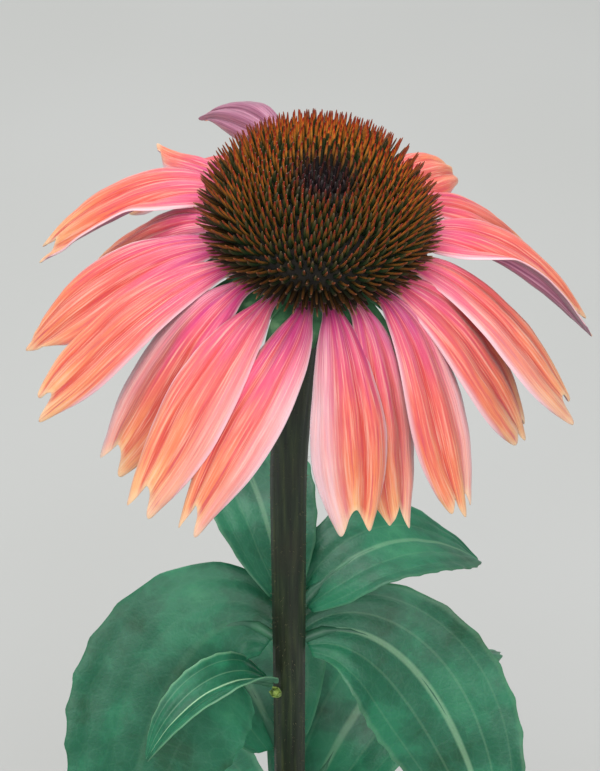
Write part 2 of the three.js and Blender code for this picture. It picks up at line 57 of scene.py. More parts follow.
def linear(code):
    """An sRGB hex colour as linear red, green, blue and alpha."""
    values = [int(code[k:k + 2], 16) / 255 for k in (1, 3, 5)]
    return [v / 12.92 if v <= 0.04045 else ((v + 0.055) / 1.055) ** 2.4 for v in values] + [1.0]


def add_node(tree, kind, inputs, stops=None, **settings):
    """A shader node with its settings. An input is a value, or another node's output that feeds it."""
    node = tree.nodes.new("ShaderNode" + kind)
    for name, value in settings.items():
        setattr(node, name, value)
    if stops:
        ramp = node.color_ramp
        ramp.interpolation = "EASE"
        while len(ramp.elements) > 1:
            ramp.elements.remove(ramp.elements[-1])
        ramp.elements[0].position, ramp.elements[0].color = stops[0][0], linear(stops[0][1])
        for place, code in stops[1:]:
            ramp.elements.new(place).color = linear(code)
    for socket, value in inputs.items():
        if isinstance(value, bpy.types.NodeSocket):
            tree.links.new(value, node.inputs[socket])
        else:
            node.inputs[socket].default_value = value
    return node


def new_material(name):
    """An empty material, and its tree of nodes."""
    material = bpy.data.materials.new(name)
    material.use_nodes = True
    material.node_tree.nodes.clear()
    return material, material.node_tree


def surfaced(tree, inputs):
    """Ends a material with its surface, whose inputs are values or the outputs of other nodes."""
    shader = add_node(tree, "BsdfPrincipled", inputs)
    add_node(tree, "OutputMaterial", {"Surface": shader.outputs["BSDF"]})


def object_place(tree):
    """Where a point lies in its piece, in metres, so that patterns keep their real size."""
    return add_node(tree, "TexCoord", {}).outputs["Object"]


def noise_at(place, scale, detail=2.0, roughness=0.5):
    """A soft noise from 0 to 1 over a place, made in the tree that the place belongs to."""
    noise = add_node(place.id_data, "TexNoise", {
        "Vector": place, "Scale": scale, "Detail": detail, "Roughness": roughness})
    return noise.outputs["Fac"]


def ramped(value, stops):
    """A value as a colour, by its place among these stops."""
    return add_node(value.id_data, "ValToRGB", {"Fac": value}, stops=stops).outputs["Color"]


def ranged(value, start, end, low, high, smooth=False):
    """A value from start to end as one from low to high, and held there outside."""
    range_node = add_node(value.id_data, "MapRange", {
        "Value": value, "From Min": start, "From Max": end, "To Min": low, "To Max": high},
        interpolation_type="SMOOTHSTEP" if smooth else "LINEAR")
    return range_node.outputs["Result"]


def mixed(share, first, second):
    """The first colour, with a share of 0 to 1 of the second one over it, which may be a hex colour."""
    second = linear(second) if isinstance(second, str) else second
    return add_node(share.id_data, "Mix", {0: share, 6: first, 7: second}, data_type="RGBA").outputs[2]


def maths(operation, *values):
    """One sum over another node's output and more outputs or values."""
    return add_node(values[0].id_data, "Math", dict(enumerate(values)), operation=operation).outputs[0]


def relief(height, strength, distance, under=None, invert=False):
    """Bumps by a height, over the bumps under them where there are any."""
    inputs = {"Height": height, "Strength": strength, "Distance": distance}
    if under:
        inputs["Normal"] = under
    return add_node(height.id_data, "Bump", inputs, invert=invert).outputs["Normal"]


def polar(turn, reach=1, height=0):
    """A place at this angle in radians round the upright axis, this far out and this high."""
    return Vector((reach * math.cos(turn), reach * math.sin(turn), height))


def select_only(*pieces):
    """Leaves object mode with these pieces selected and the first one active."""
    if bpy.context.object and bpy.context.object.mode != "OBJECT":
        bpy.ops.object.mode_set(mode="OBJECT")
    bpy.ops.object.select_all(action="DESELECT")
    for piece in pieces:
        piece.select_set(True)
    bpy.context.view_layer.objects.active = pieces[0]


def named(name):
    """The object that the last operator made, under its own name."""
    piece = bpy.context.object
    piece.name = name
    piece.data.name = name
    return piece


def primitive(name, operator, **settings):
    """A new primitive under its own name, made with nothing else selected."""
    bpy.ops.object.select_all(action="DESELECT")
    operator(**settings)
    return named(name)


def edit_all():
    """Enters edit mode with every vertex of the active piece selected."""
    bpy.ops.object.mode_set(mode="EDIT")
    bpy.ops.mesh.select_all(action="SELECT")


def edit_done():
    """Goes back to object mode."""
    bpy.ops.object.mode_set(mode="OBJECT")


def resized(value, centre=(0, 0, 0)):
    """Scales what is selected in edit mode, away from this point."""
    bpy.ops.transform.resize(value=value, center_override=centre)


def moved(x, y, z):
    """Moves what is selected in edit mode by this many mm."""
    bpy.ops.transform.translate(value=(x * MM, y * MM, z * MM))


def raised(rings, unit=MM):
    """Draws the selected face on through its rings of (centre, radius), and ends the body there."""
    for (here, before), (there, after) in zip(rings, rings[1:]):
        bpy.ops.mesh.extrude_region_move()
        bpy.ops.transform.translate(value=[(b - a) * unit for a, b in zip(here, there)])
        resized((after / before, after / before, 1), [part * unit for part in there])
    bpy.ops.mesh.select_all(action="SELECT")
    bpy.ops.mesh.normals_make_consistent(inside=False)
    edit_done()


def thrown(name, outline, sides):
    """A round closed body, raised ring by ring through its outline of (radius, height) in mm."""
    radius, height = outline[0]
    piece = primitive(name, bpy.ops.mesh.primitive_circle_add, vertices=sides, radius=radius * MM,
                      fill_type="NGON", location=(0, 0, height * MM))
    bpy.ops.object.transform_apply(location=True)
    edit_all()
    raised([((0, 0, high), wide) for wide, high in outline])
    return piece


def apply_all(piece):
    """Applies the piece's modifiers in their order."""
    select_only(piece)
    for modifier in list(piece.modifiers):
        bpy.ops.object.modifier_apply(modifier=modifier.name)


def smoothed(piece, angle=60):
    """Shades it smooth, except over edges sharper than this many degrees."""
    select_only(piece)
    bpy.ops.object.shade_smooth_by_angle(angle=math.radians(angle))


def dropped(*patterns):
    """Takes away what was only there to be copied or cut with."""
    for pattern in patterns:
        bpy.data.objects.remove(pattern)


pot = thrown("clay_pot", POT_OUTLINE, POT_SIDES)
for k in range(DRAIN_HOLES):
    turn = 2 * math.pi * (k + 0.5) / DRAIN_HOLES
    spot = polar(turn, DRAIN_RING, DRILL_HEIGHT) * MM
    drill = primitive("drill", bpy.ops.mesh.primitive_cylinder_add, vertices=24, radius=DRAIN_RADIUS * MM,
                      depth=DRILL_LENGTH * MM, location=spot)
    cut = pot.modifiers.new("drain", "BOOLEAN")
    cut.object = drill
    apply_all(pot)
    dropped(drill)
edges = pot.modifiers.new("worn edges", "BEVEL")
edges.width = WORN_EDGE * MM
edges.segments = 3
edges.limit_method = "ANGLE"
apply_all(pot)
smoothed(pot, 35)

# Terracotta: fired clay, matt and slightly gritty. It shows fine rings from the throwing,
# and a paler bloom of lime where water dries through the wall.
terracotta, tree = new_material("terracotta")
place = object_place(tree)
height = add_node(tree, "SeparateXYZ", {"Vector": place}).outputs["Z"]
cloudy = noise_at(place, 28.0, 6.0, 0.6)
clay = ramped(cloudy, [(0.3, "#9c5038"), (0.5, "#b4634a"), (0.62, "#bd7058"), (0.78, "#cfa08a")])
grit = noise_at(place, 1400.0, 2.0)
specks = ranged(grit, 0.62, 0.75, 0.0, 0.45)
speckled = mixed(specks, clay, "#8a4a36")
squeezed = add_node(tree, "CombineXYZ", {"Z": height})
rings = noise_at(squeezed.outputs["Vector"], 420.0, 3.0)
ring_bump = relief(rings, 0.5, 0.0005)
grit_bump = relief(grit, 0.4, 0.0002, ring_bump)
surfaced(tree, {
    "Base Color": speckled, "Roughness": 0.88, "Specular IOR Level": 0.3,
    "Normal": grit_bump})
pot.data.materials.append(terracotta)
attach(pot, "root")
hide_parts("pot")

# The soil: dark peat compost, pressed round the roots and heaped a little towards the stem.
# It fills the pot to 16 mm under the rim, and crumbs lie loose on top.
SOIL_SIDES = 84
SOIL_TOP = 134
SOIL_MOUND = 5
SOIL_EDGE = 72.0
SOIL_RINGS = 26
CRUMBS = 520
CRUMB_REACH = 70
CRUMB_ROUGHNESS = 0.45
SMALLEST_CRUMB = 0.55
CRUMB_SPREAD = 1.5
CRUMB_SHAPES = [(1.25, 0.9, 0.7), (1.25, 1.0, 0.7), (1.25, 1.1, 0.7), (1.25, 1.2, 0.7)]
CRUMB_TILT = 0.6
soil_outline = [(52.0, 9.4), (SOIL_EDGE, 131.5)]
for k in range(SOIL_RINGS):
    radius = SOIL_EDGE * (1 - k / SOIL_RINGS)
    soil_outline.append((radius, SOIL_TOP + SOIL_MOUND * (1 - (radius / SOIL_EDGE) ** 2)))


def pick(test):
    """Selects the vertices of the piece in edit mode whose place passes the test."""
    bpy.ops.mesh.select_all(action="DESELECT")
    mesh = bmesh.from_edit_mesh(bpy.context.object.data)
    for vertex in mesh.verts:
        if test(vertex.co):
            vertex.select_set(True)
    mesh.select_flush_mode()


def clouds(name, grain):
    """A soft noise for a Displace modifier, with lumps of about this many mm."""
    texture = bpy.data.textures.new(name, "CLOUDS")
    texture.noise_scale = grain * MM
    texture.noise_depth = 3
    return texture


def displaced(piece, texture, strength, group=""):
    """A Displace modifier that reads its noise by the place in the whole plant."""
    push = piece.modifiers.new("displace", "DISPLACE")
    push.texture = texture
    push.texture_coords = "GLOBAL"
    push.strength = strength * MM
    push.vertex_group = group
    return push


def joined(name, pieces):
    """The pieces as one object with one mesh."""
    select_only(*pieces)
    bpy.ops.object.join()
    return named(name)


def copied(piece, place):
    """A copy of the piece with its own mesh, put at a place."""
    other = piece.copy()
    other.data = piece.data.copy()
    other.data.transform(place)
    bpy.context.collection.objects.link(other)
    return other


soil = thrown("potting_soil", soil_outline, SOIL_SIDES)
edit_all()
pick(lambda at: at.z > (SOIL_TOP - 0.5) * MM and math.hypot(at.x, at.y) < (SOIL_EDGE - 1.5) * MM)
soil.vertex_groups.new(name="top")
bpy.ops.object.vertex_group_assign()
bpy.ops.mesh.subdivide(number_cuts=1)
edit_done()
displaced(soil, clouds("soil lumps", 9), 5.0, "top")
displaced(soil, clouds("soil grain", 2.2), 1.6, "top")
apply_all(soil)
smoothed(soil)
crumb_random = random.Random(17)
crumb_kinds = []
for k, shape in enumerate(CRUMB_SHAPES):
    crumb_kinds.append(primitive("crumb", bpy.ops.mesh.primitive_ico_sphere_add, subdivisions=1, radius=MM))
    edit_all()
    bpy.ops.transform.vertex_random(offset=CRUMB_ROUGHNESS * MM, seed=k + 1)
    bpy.ops.transform.resize(value=shape)
    edit_done()
crumbs = []
for k in range(CRUMBS):
    reach = CRUMB_REACH * math.sqrt(crumb_random.random())
    turn = crumb_random.uniform(0, 2 * math.pi)
    top = SOIL_TOP + SOIL_MOUND * (1 - (reach / SOIL_EDGE) ** 2)
    size = SMALLEST_CRUMB + CRUMB_SPREAD * crumb_random.random() ** 3
    spot = polar(turn, reach, top + 0.4 * size + 0.3) * MM
    tilt = Matrix.Rotation(crumb_random.uniform(0, 6.28), 4, "Z") @ Matrix.Rotation(
        crumb_random.uniform(-CRUMB_TILT, CRUMB_TILT), 4, "X")
    place = Matrix.Translation(spot) @ tilt @ Matrix.Scale(size, 4)
    crumbs.append(copied(crumb_kinds[k % len(crumb_kinds)], place))
dropped(*crumb_kinds)
soil = joined("potting_soil", [soil] + crumbs)

# Peat compost: dark brown, damp and matt, with paler fibres here and there among the crumbs.
compost, tree = new_material("peat_compost")
place = object_place(tree)
patches = noise_at(place, 260.0, 8.0, 0.7)
brown = ramped(patches, [(0.3, "#1d1410"), (0.48, "#35261c"), (0.6, "#4a3626"), (0.75, "#6b523a")])
fine = noise_at(place, 1500.0, 4.0)
crumbly = relief(fine, 0.9, 0.0005)
surfaced(tree, {"Base Color": brown, "Roughness": 0.95, "Specular IOR Level": 0.2, "Normal": crumbly})
soil.data.materials.clear()
soil.data.materials.append(compost)
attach(soil, "root")
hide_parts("soil")

# The stem: one stiff upright stalk, solid and slightly ribbed, that carries the bloom.
# It grows from the crown in the soil, and the bloom's green cup sits on its thickened top.
BLOOM_PLACE = (5.4, -3.0, 520.0)
bloom_up = Vector((math.tan(math.radians(5)), -math.tan(math.radians(6)), 1)).normalized()
bloom_right = (Vector((1, 0, 0)) - bloom_up * bloom_up.x).normalized()
bloom_back = bloom_up.cross(bloom_right)
BLOOM = Matrix.Translation(Vector(BLOOM_PLACE) * MM) @ Matrix(
    (bloom_right, bloom_back, bloom_up)).transposed().to_4x4()
STEM_FOOT = 94
STEM_BEND = 446
STEM_STEP = 8
STEM_RIBS = 12
STEM_GROOVE = 0.95
NECK_DROP = 8.2
BEND_PULLS = (26, 22)
STEM_TAPER = [(0, 4.8), (0.25, 4.2), (0.6, 3.5), (0.9, 3.75), (1, 4.1)]


def along(pairs, place):
    """A value read off (place, value) pairs along a smooth line through them."""
    k = 0
    while k < len(pairs) - 2 and place > pairs[k + 1][0]:
        k += 1
    (start, low), (end, high) = pairs[k], pairs[k + 1]
    before, after = pairs[max(k - 1, 0)], pairs[min(k + 2, len(pairs) - 1)]
    span = end - start
    t = min(max((place - start) / span, 0), 1)
    rise = span * (high - before[1]) / (end - before[0])
    fall = span * (after[1] - low) / (after[0] - start)
    return (low * (2 * t ** 3 - 3 * t ** 2 + 1) + rise * (t ** 3 - 2 * t ** 2 + t)
            + high * (3 * t ** 2 - 2 * t ** 3) + fall * (t ** 3 - t ** 2))


def cubic(points, t):
    """A point of the cubic curve with these four control points."""
    a, b, c, d = [Vector(point) for point in points]
    return a * (1 - t) ** 3 + b * 3 * t * (1 - t) ** 2 + c * 3 * t ** 2 * (1 - t) + d * t ** 3


stem_neck = BLOOM @ Vector((0, 0, -NECK_DROP * MM)) / MM
stem_bend = [
    (0, 0, STEM_BEND), (0, 0, STEM_BEND + BEND_PULLS[0]), stem_neck - bloom_up * BEND_PULLS[1], stem_neck]
stem_line = [Vector((0, 0, z)) for z in range(STEM_FOOT, STEM_BEND, STEM_STEP)]
stem_line += [cubic(stem_bend, k / 10) for k in range(11)]
stem = primitive("ribbed_stem", bpy.ops.mesh.primitive_circle_add, vertices=4 * STEM_RIBS,
                 radius=STEM_TAPER[0][1] * MM, fill_type="NGON", location=(0, 0, STEM_FOOT * MM))
bpy.ops.object.transform_apply(location=True)
edit_all()
pick(lambda at: math.cos(STEM_RIBS * math.atan2(at.y, at.x)) < -0.5)
resized((STEM_GROOVE, STEM_GROOVE, 1), (0, 0, STEM_FOOT * MM))
bpy.ops.mesh.select_all(action="SELECT")
stem_length = stem_line[-1].z - STEM_FOOT
raised([(at, along(STEM_TAPER, (at.z - STEM_FOOT) / stem_length)) for at in stem_line])
smoothed(stem)

# Short stiff hairs stand out all over the stem, pointing a little upwards.
HAIRS = 2300
HAIR_RADIUS = 0.05
HAIR_LENGTH = 1.0
HAIR_SPAN = (0.12, 0.985)
HAIR_RISES = (0.0, 0.7)
HAIR_SIZES = (0.6, 1.15)
HAIR_SUNK = 0.97
hair = primitive("hair", bpy.ops.mesh.primitive_cone_add, vertices=3, radius1=HAIR_RADIUS * MM, radius2=0,
                 depth=HAIR_LENGTH * MM, location=(0, 0, 0.35 * HAIR_LENGTH * MM))
bpy.ops.object.transform_apply(location=True)
hair_random = random.Random(5)
hairs = []
for k in range(HAIRS):
    part = hair_random.uniform(*HAIR_SPAN) * (len(stem_line) - 1)
    here = stem_line[int(part)].lerp(stem_line[int(part) + 1], part % 1)
    turn = hair_random.uniform(0, 2 * math.pi)
    out = polar(turn, 1, hair_random.uniform(*HAIR_RISES)).normalized()
    level = polar(turn)
    thick = along(STEM_TAPER, (here.z - STEM_FOOT) / stem_length) * HAIR_SUNK
    spot = (here + level * thick) * MM
    hairs.append(copied(hair, Matrix.Translation(spot) @ out.to_track_quat("Z", "Y").to_matrix().to_4x4()
                        @ Matrix.Scale(hair_random.uniform(*HAIR_SIZES), 4)))
dropped(hair)
stem_hairs = joined("stem_hairs", hairs)


def mottled(name, scale, detail, stops, roughness, bumps=()):
    """A material whose colour and relief follow one noise. The bumps are their strength and height."""
    material, tree = new_material(name)
    noise = noise_at(object_place(tree), scale, detail)
    inputs = {"Base Color": ramped(noise, stops), "Roughness": roughness}
    if bumps:
        inputs["Normal"] = relief(noise, *bumps)
    surfaced(tree, inputs)
    return material


# Green stem with a brown flush: a firm waxy skin with darker lines along it.
stem_skin, tree = new_material("ribbed_stem_skin")
place = object_place(tree)
stretched = add_node(tree, "Mapping", {"Vector": place, "Scale": (1.0, 1.0, 0.05)})
streaks = noise_at(stretched.outputs["Vector"], 900.0, 4.0, 0.6)
green = ramped(streaks, [(0.3, "#141b11"), (0.47, "#1f2919"), (0.58, "#2c3620"), (0.72, "#414829")])
flush = noise_at(place, 55.0, 5.0)
flushed = ranged(flush, 0.45, 0.7, 0.0, 0.5)
skin = mixed(flushed, green, "#2c2219")
ribbed = relief(streaks, 0.5, 0.0003)
surfaced(tree, {"Base Color": skin, "Roughness": 0.55, "Specular IOR Level": 0.4, "Normal": ribbed})
stem.data.materials.append(stem_skin)

# Hair: dry and colourless, so it catches the light as a pale fringe.
stem_hairs.data.materials.append(
    mottled("stem_hair", 300.0, 2.0, [(0.35, "#4d4c34"), (0.65, "#8a8464")], 0.6))
for piece in (stem, stem_hairs):
    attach(piece, "root")
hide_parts("stem")

# The leaves: long pointed blades, rough and dull, toothed at the edge and folded along a pale rib.
# Those on the stem nearly sit on it. Those round its foot come out of the soil on long stalks.
LEAF_OUTLINE = [
    (0, 0.28), (0.05, 0.46), (0.15, 0.74), (0.3, 0.95), (0.45, 1), (0.62, 0.87), (0.8, 0.58), (0.92, 0.27),
    (1, 0.05),
]
LEAF_ROWS = 48
LEAF_COLUMNS = 16
LEAF_SIDE_VEINS = (0.375, 0.75)
LEAF_THICKNESS = 0.45
VEIN_DEPTH = 0.45
TOOTH_WIDTH = 1.045
TOOTH_LEAN = 0.5
BLADE_LENGTH = 100
BLADE_WIDTH = 40
RIB_RINGS = 25
RIB_SHARE = 0.96
RIB_TIP = 0.22
RIB_TAPER = 0.62
RIB_HANG = 0.45
LEAF_WAVE = 0.2
LEAF_PUCKER = 0.7
# Columns: the four points that its rib follows, width, stalk's share, half the stalk's width, fold, roll.
STEM_LEAVES = {
    "leaf_left": ([(-4.4, 3.2, 398), (-14, 9, 402), (-31, 3, 393), (-38, -28, 350)], 40, 0.05, 1.3, 8, 26),
    "leaf_right": ([(4.6, 2.4, 398), (16, 6, 402), (37, 0, 393), (46, -28, 352)], 31, 0.05, 1.3, 8, -28),
    "leaf_small": (
        [(-4.9, -4.2, 390), (-11.5, -11.5, 403), (-22, -18, 403), (-30, -24, 389)], 14, 0.06, 0.9, 38, -6),
    "leaf_right_back": ([(4, 4.6, 408), (16, 14, 419), (31, 23, 409), (43, 31, 389)], 26, 0.05, 1.3, 10, 0),
    "leaf_back": ([(-1.2, 5.6, 410), (-6, 22, 424), (-12, 44, 418), (-17, 66, 392)], 26, 0.05, 1.3, 10, 0),
    "leaf_low_back_left": (
        [(-3.2, 4.6, 356), (-12, 24, 366), (-22, 50, 346), (-28, 66, 290)], 52, 0.05, 1.3, 12, 0),
    "leaf_front": (
        [(-0.9, -5.4, 336), (-7, -34, 356), (-13, -68, 344), (-16, -96, 296)], 36, 0.07, 1.3, 12, 0),
    "leaf_low_back": ([(2.8, 4.8, 326), (18, 33, 344), (34, 64, 328), (46, 90, 276)], 48, 0.08, 1.3, 12, 0),
    "leaf_low_left": (
        [(-5.6, -1.2, 262), (-44, -10, 290), (-88, -24, 276), (-124, -37, 220)], 44, 0.14, 1.3, 12, 0),
    "leaf_low_right": (
        [(5.6, -2.1, 224), (46, -16, 254), (92, -33, 242), (128, -48, 186)], 46, 0.16, 1.3, 12, 0),
}
# How pale the rib looks from above, where it isn't the usual share.
PALE_RIBS = {"leaf_small": 0.9, "leaf_right": 0.4, "leaf_left": 0.05}
USUAL_RIB = 0.25
BASE_SUNK = 1.4
# Columns: way it heads, start radius, peak height, reach, tip height, width.
GROUND_LEAVES = [
    (10, 17, 246, 142, 168, 50), (58, 18, 228, 124, 152, 44), (104, 17, 262, 134, 186, 46),
    (152, 18, 236, 146, 158, 52), (206, 18, 222, 128, 148, 44), (252, 17, 232, 134, 154, 48),
    (310, 18, 242, 138, 160, 50),
]
# Shared by all of them: how deep they are sunk, the stalk's share, half its width, fold and roll.
STALK_SUNK = 14
GROUND_LEAF = (0.4, 1.8, 12, 0)


def grab(test):
    """Selects the sheet's vertices by their place in it: s is 0 to 1 along it, u is -1 to 1 across."""
    bpy.ops.mesh.select_all(action="DESELECT")
    mesh = bmesh.from_edit_mesh(bpy.context.object.data)
    layer = mesh.loops.layers.uv.active
    for vertex in mesh.verts:
        s, t = vertex.link_loops[0][layer].uv
        if test(s, 2 * t - 1):
            vertex.select_set(True)
    mesh.select_flush_mode()


def flat_sheet(name, length, width, rows, columns):
    """A flat grid from the origin along X, left in edit mode, with its UV map along and across it."""
    sheet = primitive(
        name, bpy.ops.mesh.primitive_grid_add, x_subdivisions=rows, y_subdivisions=columns, size=1)
    edit_all()
    bpy.ops.transform.translate(value=(0.5, 0, 0))
    resized((length * MM, width * MM, 1))
    return sheet


def bent_along(pieces, points, rolls):
    """Bends pieces that lie along X to the curve with these points. A roll lifts the right side."""
    path = primitive("path", bpy.ops.curve.primitive_bezier_curve_add)
    path.data.twist_mode = "Z_UP"
    path.data.resolution_u = 24
    start, end = path.data.splines[0].bezier_points
    for handle in (start, end):
        handle.handle_left_type = handle.handle_right_type = "FREE"
    start.co, start.handle_right, end.handle_left, end.co = [Vector(point) * MM for point in points]
    start.handle_left = start.co * 2 - start.handle_right
    end.handle_right = end.co * 2 - end.handle_left
    bpy.ops.object.mode_set(mode="EDIT")
    bpy.ops.curve.select_all(action="SELECT")
    bpy.ops.curve.subdivide(number_cuts=1)
    edit_done()
    for handle, roll in zip(path.data.splines[0].bezier_points, rolls):
        handle.tilt = -math.radians(roll)
    for piece in pieces:
        bend = piece.modifiers.new("bend", "CURVE")
        bend.object = path
        apply_all(piece)
    dropped(path)


def curve_length(points):
    """The length of the curve with these points."""
    places = [cubic(points, k / 80) for k in range(81)]
    return sum((b - a).length for a, b in zip(places, places[1:]))


def own_value(tree, key):
    """The value that each point of the mesh holds under this key."""
    return add_node(tree, "Attribute", {}, attribute_name=key).outputs["Fac"]


blade = flat_sheet("blade", BLADE_LENGTH, BLADE_WIDTH, LEAF_ROWS, LEAF_COLUMNS)
for side in (-1, 1):
    for vein in LEAF_SIDE_VEINS:
        grab(lambda s, u: abs(u - side * vein) < 0.01)
        moved(0, 0, -VEIN_DEPTH)
for row in range(LEAF_ROWS + 1):
    part = row / LEAF_ROWS
    spread = along(LEAF_OUTLINE, part)
    grab(lambda s, u: abs(s - part) < 0.001)
    resized((1, spread, min(1, 0.3 + spread)))
    if row % 4 == 2 and row > 4:
        grab(lambda s, u: abs(s - part) < 0.001 and abs(u) > 0.99)
        resized((1, TOOTH_WIDTH, 1))
        moved(TOOTH_LEAN, 0, 0)
for column in range(LEAF_COLUMNS // 2 + 1):
    grab(lambda s, u: abs(abs(u) - 2 * column / LEAF_COLUMNS) < 0.01)
    if column == 0:
        blade.vertex_groups.new(name="edge")
    bpy.context.scene.tool_settings.vertex_group_weight = (2 * column / LEAF_COLUMNS) ** 2
    bpy.ops.object.vertex_group_assign()
bpy.context.scene.tool_settings.vertex_group_weight = 1.0
edit_done()
rib = thrown("rib", [(1.0, BLADE_LENGTH * k / RIB_RINGS) for k in range(RIB_RINGS + 1)], 8)
select_only(rib)
bpy.ops.transform.rotate(value=-math.pi / 2, orient_axis="Y", center_override=(0, 0, 0))
bpy.ops.object.transform_apply(rotation=True)
edge_waves = clouds("leaf waves", 26)
puckers = clouds("leaf puckers", 7)

# Leaf blade: rough, dull, bluish green above with paler veins, and a paler duller green below.
leaf_green, tree = new_material("leaf_upper_side")
sheet_place = add_node(tree, "TexCoord", {})
across = add_node(tree, "SeparateXYZ", {"Vector": sheet_place.outputs["UV"]})
centred = maths("MULTIPLY_ADD", across.outputs["Y"], 2.0, -1.0)
half = maths("ABSOLUTE", centred)
patchy = noise_at(sheet_place.outputs["Object"], 60.0, 5.0, 0.6)
greens = ramped(patchy, [(0.3, "#0e4a2e"), (0.45, "#165c40"), (0.58, "#206f4e"), (0.72, "#307e58")])
cells = add_node(tree, "Mapping", {
    "Vector": sheet_place.outputs["UV"], "Scale": (26.0, 13.0, 1.0)})
net = add_node(tree, "TexVoronoi", {"Vector": cells.outputs["Vector"], "Scale": 1.0},
               feature="DISTANCE_TO_EDGE")
net_line = ranged(net.outputs["Distance"], 0.0, 0.12, 0.045, 0.0)
colour = mixed(net_line, greens, "#6ba584")
pale_rib = own_value(tree, "pale_rib")
for vein, wide, strength in ((0.0, 0.07, 0.9), (0.375, 0.028, 0.22), (0.75, 0.022, 0.14), (1.0, 0.09, 0.3)):
    near = maths("ABSOLUTE", maths("SUBTRACT", half, vein))
    line = ranged(near, wide * 0.3, wide, strength, 0.0, smooth=True)
    share = maths("MULTIPLY", line, pale_rib)
    colour = mixed(share, colour, "#9cc49a")
rough_grain = noise_at(sheet_place.outputs["Object"], 1600.0, 2.0)
net_bump = relief(net_line, 0.35, 0.0006, invert=True)
grain_bump = relief(rough_grain, 0.35, 0.0002, net_bump)
surfaced(tree, {
    "Base Color": colour, "Roughness": 0.5, "Specular IOR Level": 0.4, "Subsurface Weight": 0.08,
    "Subsurface Radius": (0.3, 1.0, 0.2), "Subsurface Scale": 0.0008, "Normal": grain_bump})

leaf_under = mottled(
    "leaf_underside", 220.0, 5.0, [(0.35, "#2c6248"), (0.65, "#468062")], 0.65, (0.4, 0.0003))

# Rib and stalk: pale, stiff and juicy, with fine lines along them.
rib_green = mottled(
    "leaf_rib", 130.0, 4.0, [(0.35, "#235840"), (0.65, "#3f7656")], 0.5, (0.3, 0.0004))


def thickened(sheet, thickness, sides, offset=0):
    """Gives a sheet its thickness in mm, one level of smoothing, and the materials of its two sides."""
    thick = sheet.modifiers.new("thickness", "SOLIDIFY")
    thick.thickness = thickness * MM
    thick.offset = offset
    thick.material_offset = max(len(sides) - 1, 0)
    finer = sheet.modifiers.new("finer", "SUBSURF")
    finer.levels = finer.render_levels = 1
    for side in sides:
        sheet.data.materials.append(side)
    apply_all(sheet)


def hold(piece, key, value):
    """Lets every point of the piece's mesh hold this value under the key."""
    own = piece.data.attributes.new(key, "FLOAT", "POINT")
    own.data.foreach_set("value", [value] * len(piece.data.vertices))


def grown_leaf(node, points, width, stalk, stalk_half, fold, roll):
    """One leaf in its place: a blade folded along its rib, with the rib and stalk under it."""
    length = curve_length(points)
    name = node.replace("leaf", "blade")
    start = length * stalk if stalk > 0.1 else -BASE_SUNK
    leaf = copied(blade, Matrix.Diagonal(((length - start) / BLADE_LENGTH, width / BLADE_WIDTH, 1, 1)))
    leaf.data.transform(Matrix.Translation((start * MM, 0, 0)))
    leaf.name = name
    select_only(leaf)
    bpy.ops.object.mode_set(mode="EDIT")
    for side in (-1, 1):
        grab(lambda s, u: u * side > 0.01)
        bpy.ops.transform.rotate(
            value=-side * math.radians(fold), orient_axis="X", center_override=(0, 0, 0))
    edit_done()
    stalk_part = copied(rib, Matrix.Diagonal((length * RIB_SHARE / BLADE_LENGTH, 1, 1, 1)))
    select_only(stalk_part)
    bpy.ops.object.mode_set(mode="EDIT")
    for k in range(RIB_RINGS + 1):
        part = k / RIB_RINGS
        ring = length * RIB_SHARE * MM * part
        thick = stalk_half
        if part > stalk:
            thick = max(RIB_TIP, stalk_half * RIB_TAPER * (1 - part) / (1 - stalk))
        pick(lambda at: abs(at.x - ring) < 0.0002)
        resized((1, thick, thick))
        if part > stalk:
            moved(0, 0, -RIB_HANG * thick)
    pick(lambda at: at.x < 0.5 * MM)
    moved(-BASE_SUNK, 0, 0)
    edit_done()
    bent_along([leaf, stalk_part], points, (roll, roll, roll))
    displaced(leaf, edge_waves, LEAF_WAVE * width, "edge")
    displaced(leaf, puckers, LEAF_PUCKER)
    thickened(leaf, LEAF_THICKNESS, (leaf_green, leaf_under))
    hold(leaf, "pale_rib", PALE_RIBS.get(node, USUAL_RIB))
    stalk_part.data.materials.append(rib_green)
    leaf = joined(name, [leaf, stalk_part])
    smoothed(leaf)
    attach(leaf, "root")
    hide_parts(node)


for node, row in STEM_LEAVES.items():
    grown_leaf(node, *row)
for k, (heading, start, peak, reach, tip, width) in enumerate(GROUND_LEAVES):
    points = []
    for turn, radius, high in (
            (heading, start, SOIL_TOP - STALK_SUNK), (heading, start + 3, peak - 42),
            (heading + 6, reach * 0.5, peak + 18), (heading + 10, reach, tip)):
        points.append(polar(math.radians(turn), radius, high))
    grown_leaf(f"leaf_ground_{k + 1}", points, width, *GROUND_LEAF)
dropped(blade, rib)

# The bud in the axil of the small leaf: a tiny side shoot, still closed, wrapped in pointed scales.
BUD_AT = (-2.7, -4.4, 386.5)
BUD_SCALES = 5
BUD_LEAN = (-18, 24)
SCALE_PLACE = (0.85, 0, 0.35)
SCALE_LEAN = 12


def bud_part(name, segments, rings, shape, above, pinch):
    """A small ball drawn out to this shape in mm, and pinched to a point above a height."""
    part = primitive(
        name, bpy.ops.mesh.primitive_uv_sphere_add, segments=segments, ring_count=rings, radius=MM)
    edit_all()
    bpy.ops.transform.resize(value=shape)
    pick(lambda at: at.z > above * MM)
    resized(pinch, (0, 0, above * MM))
    edit_done()
    return part


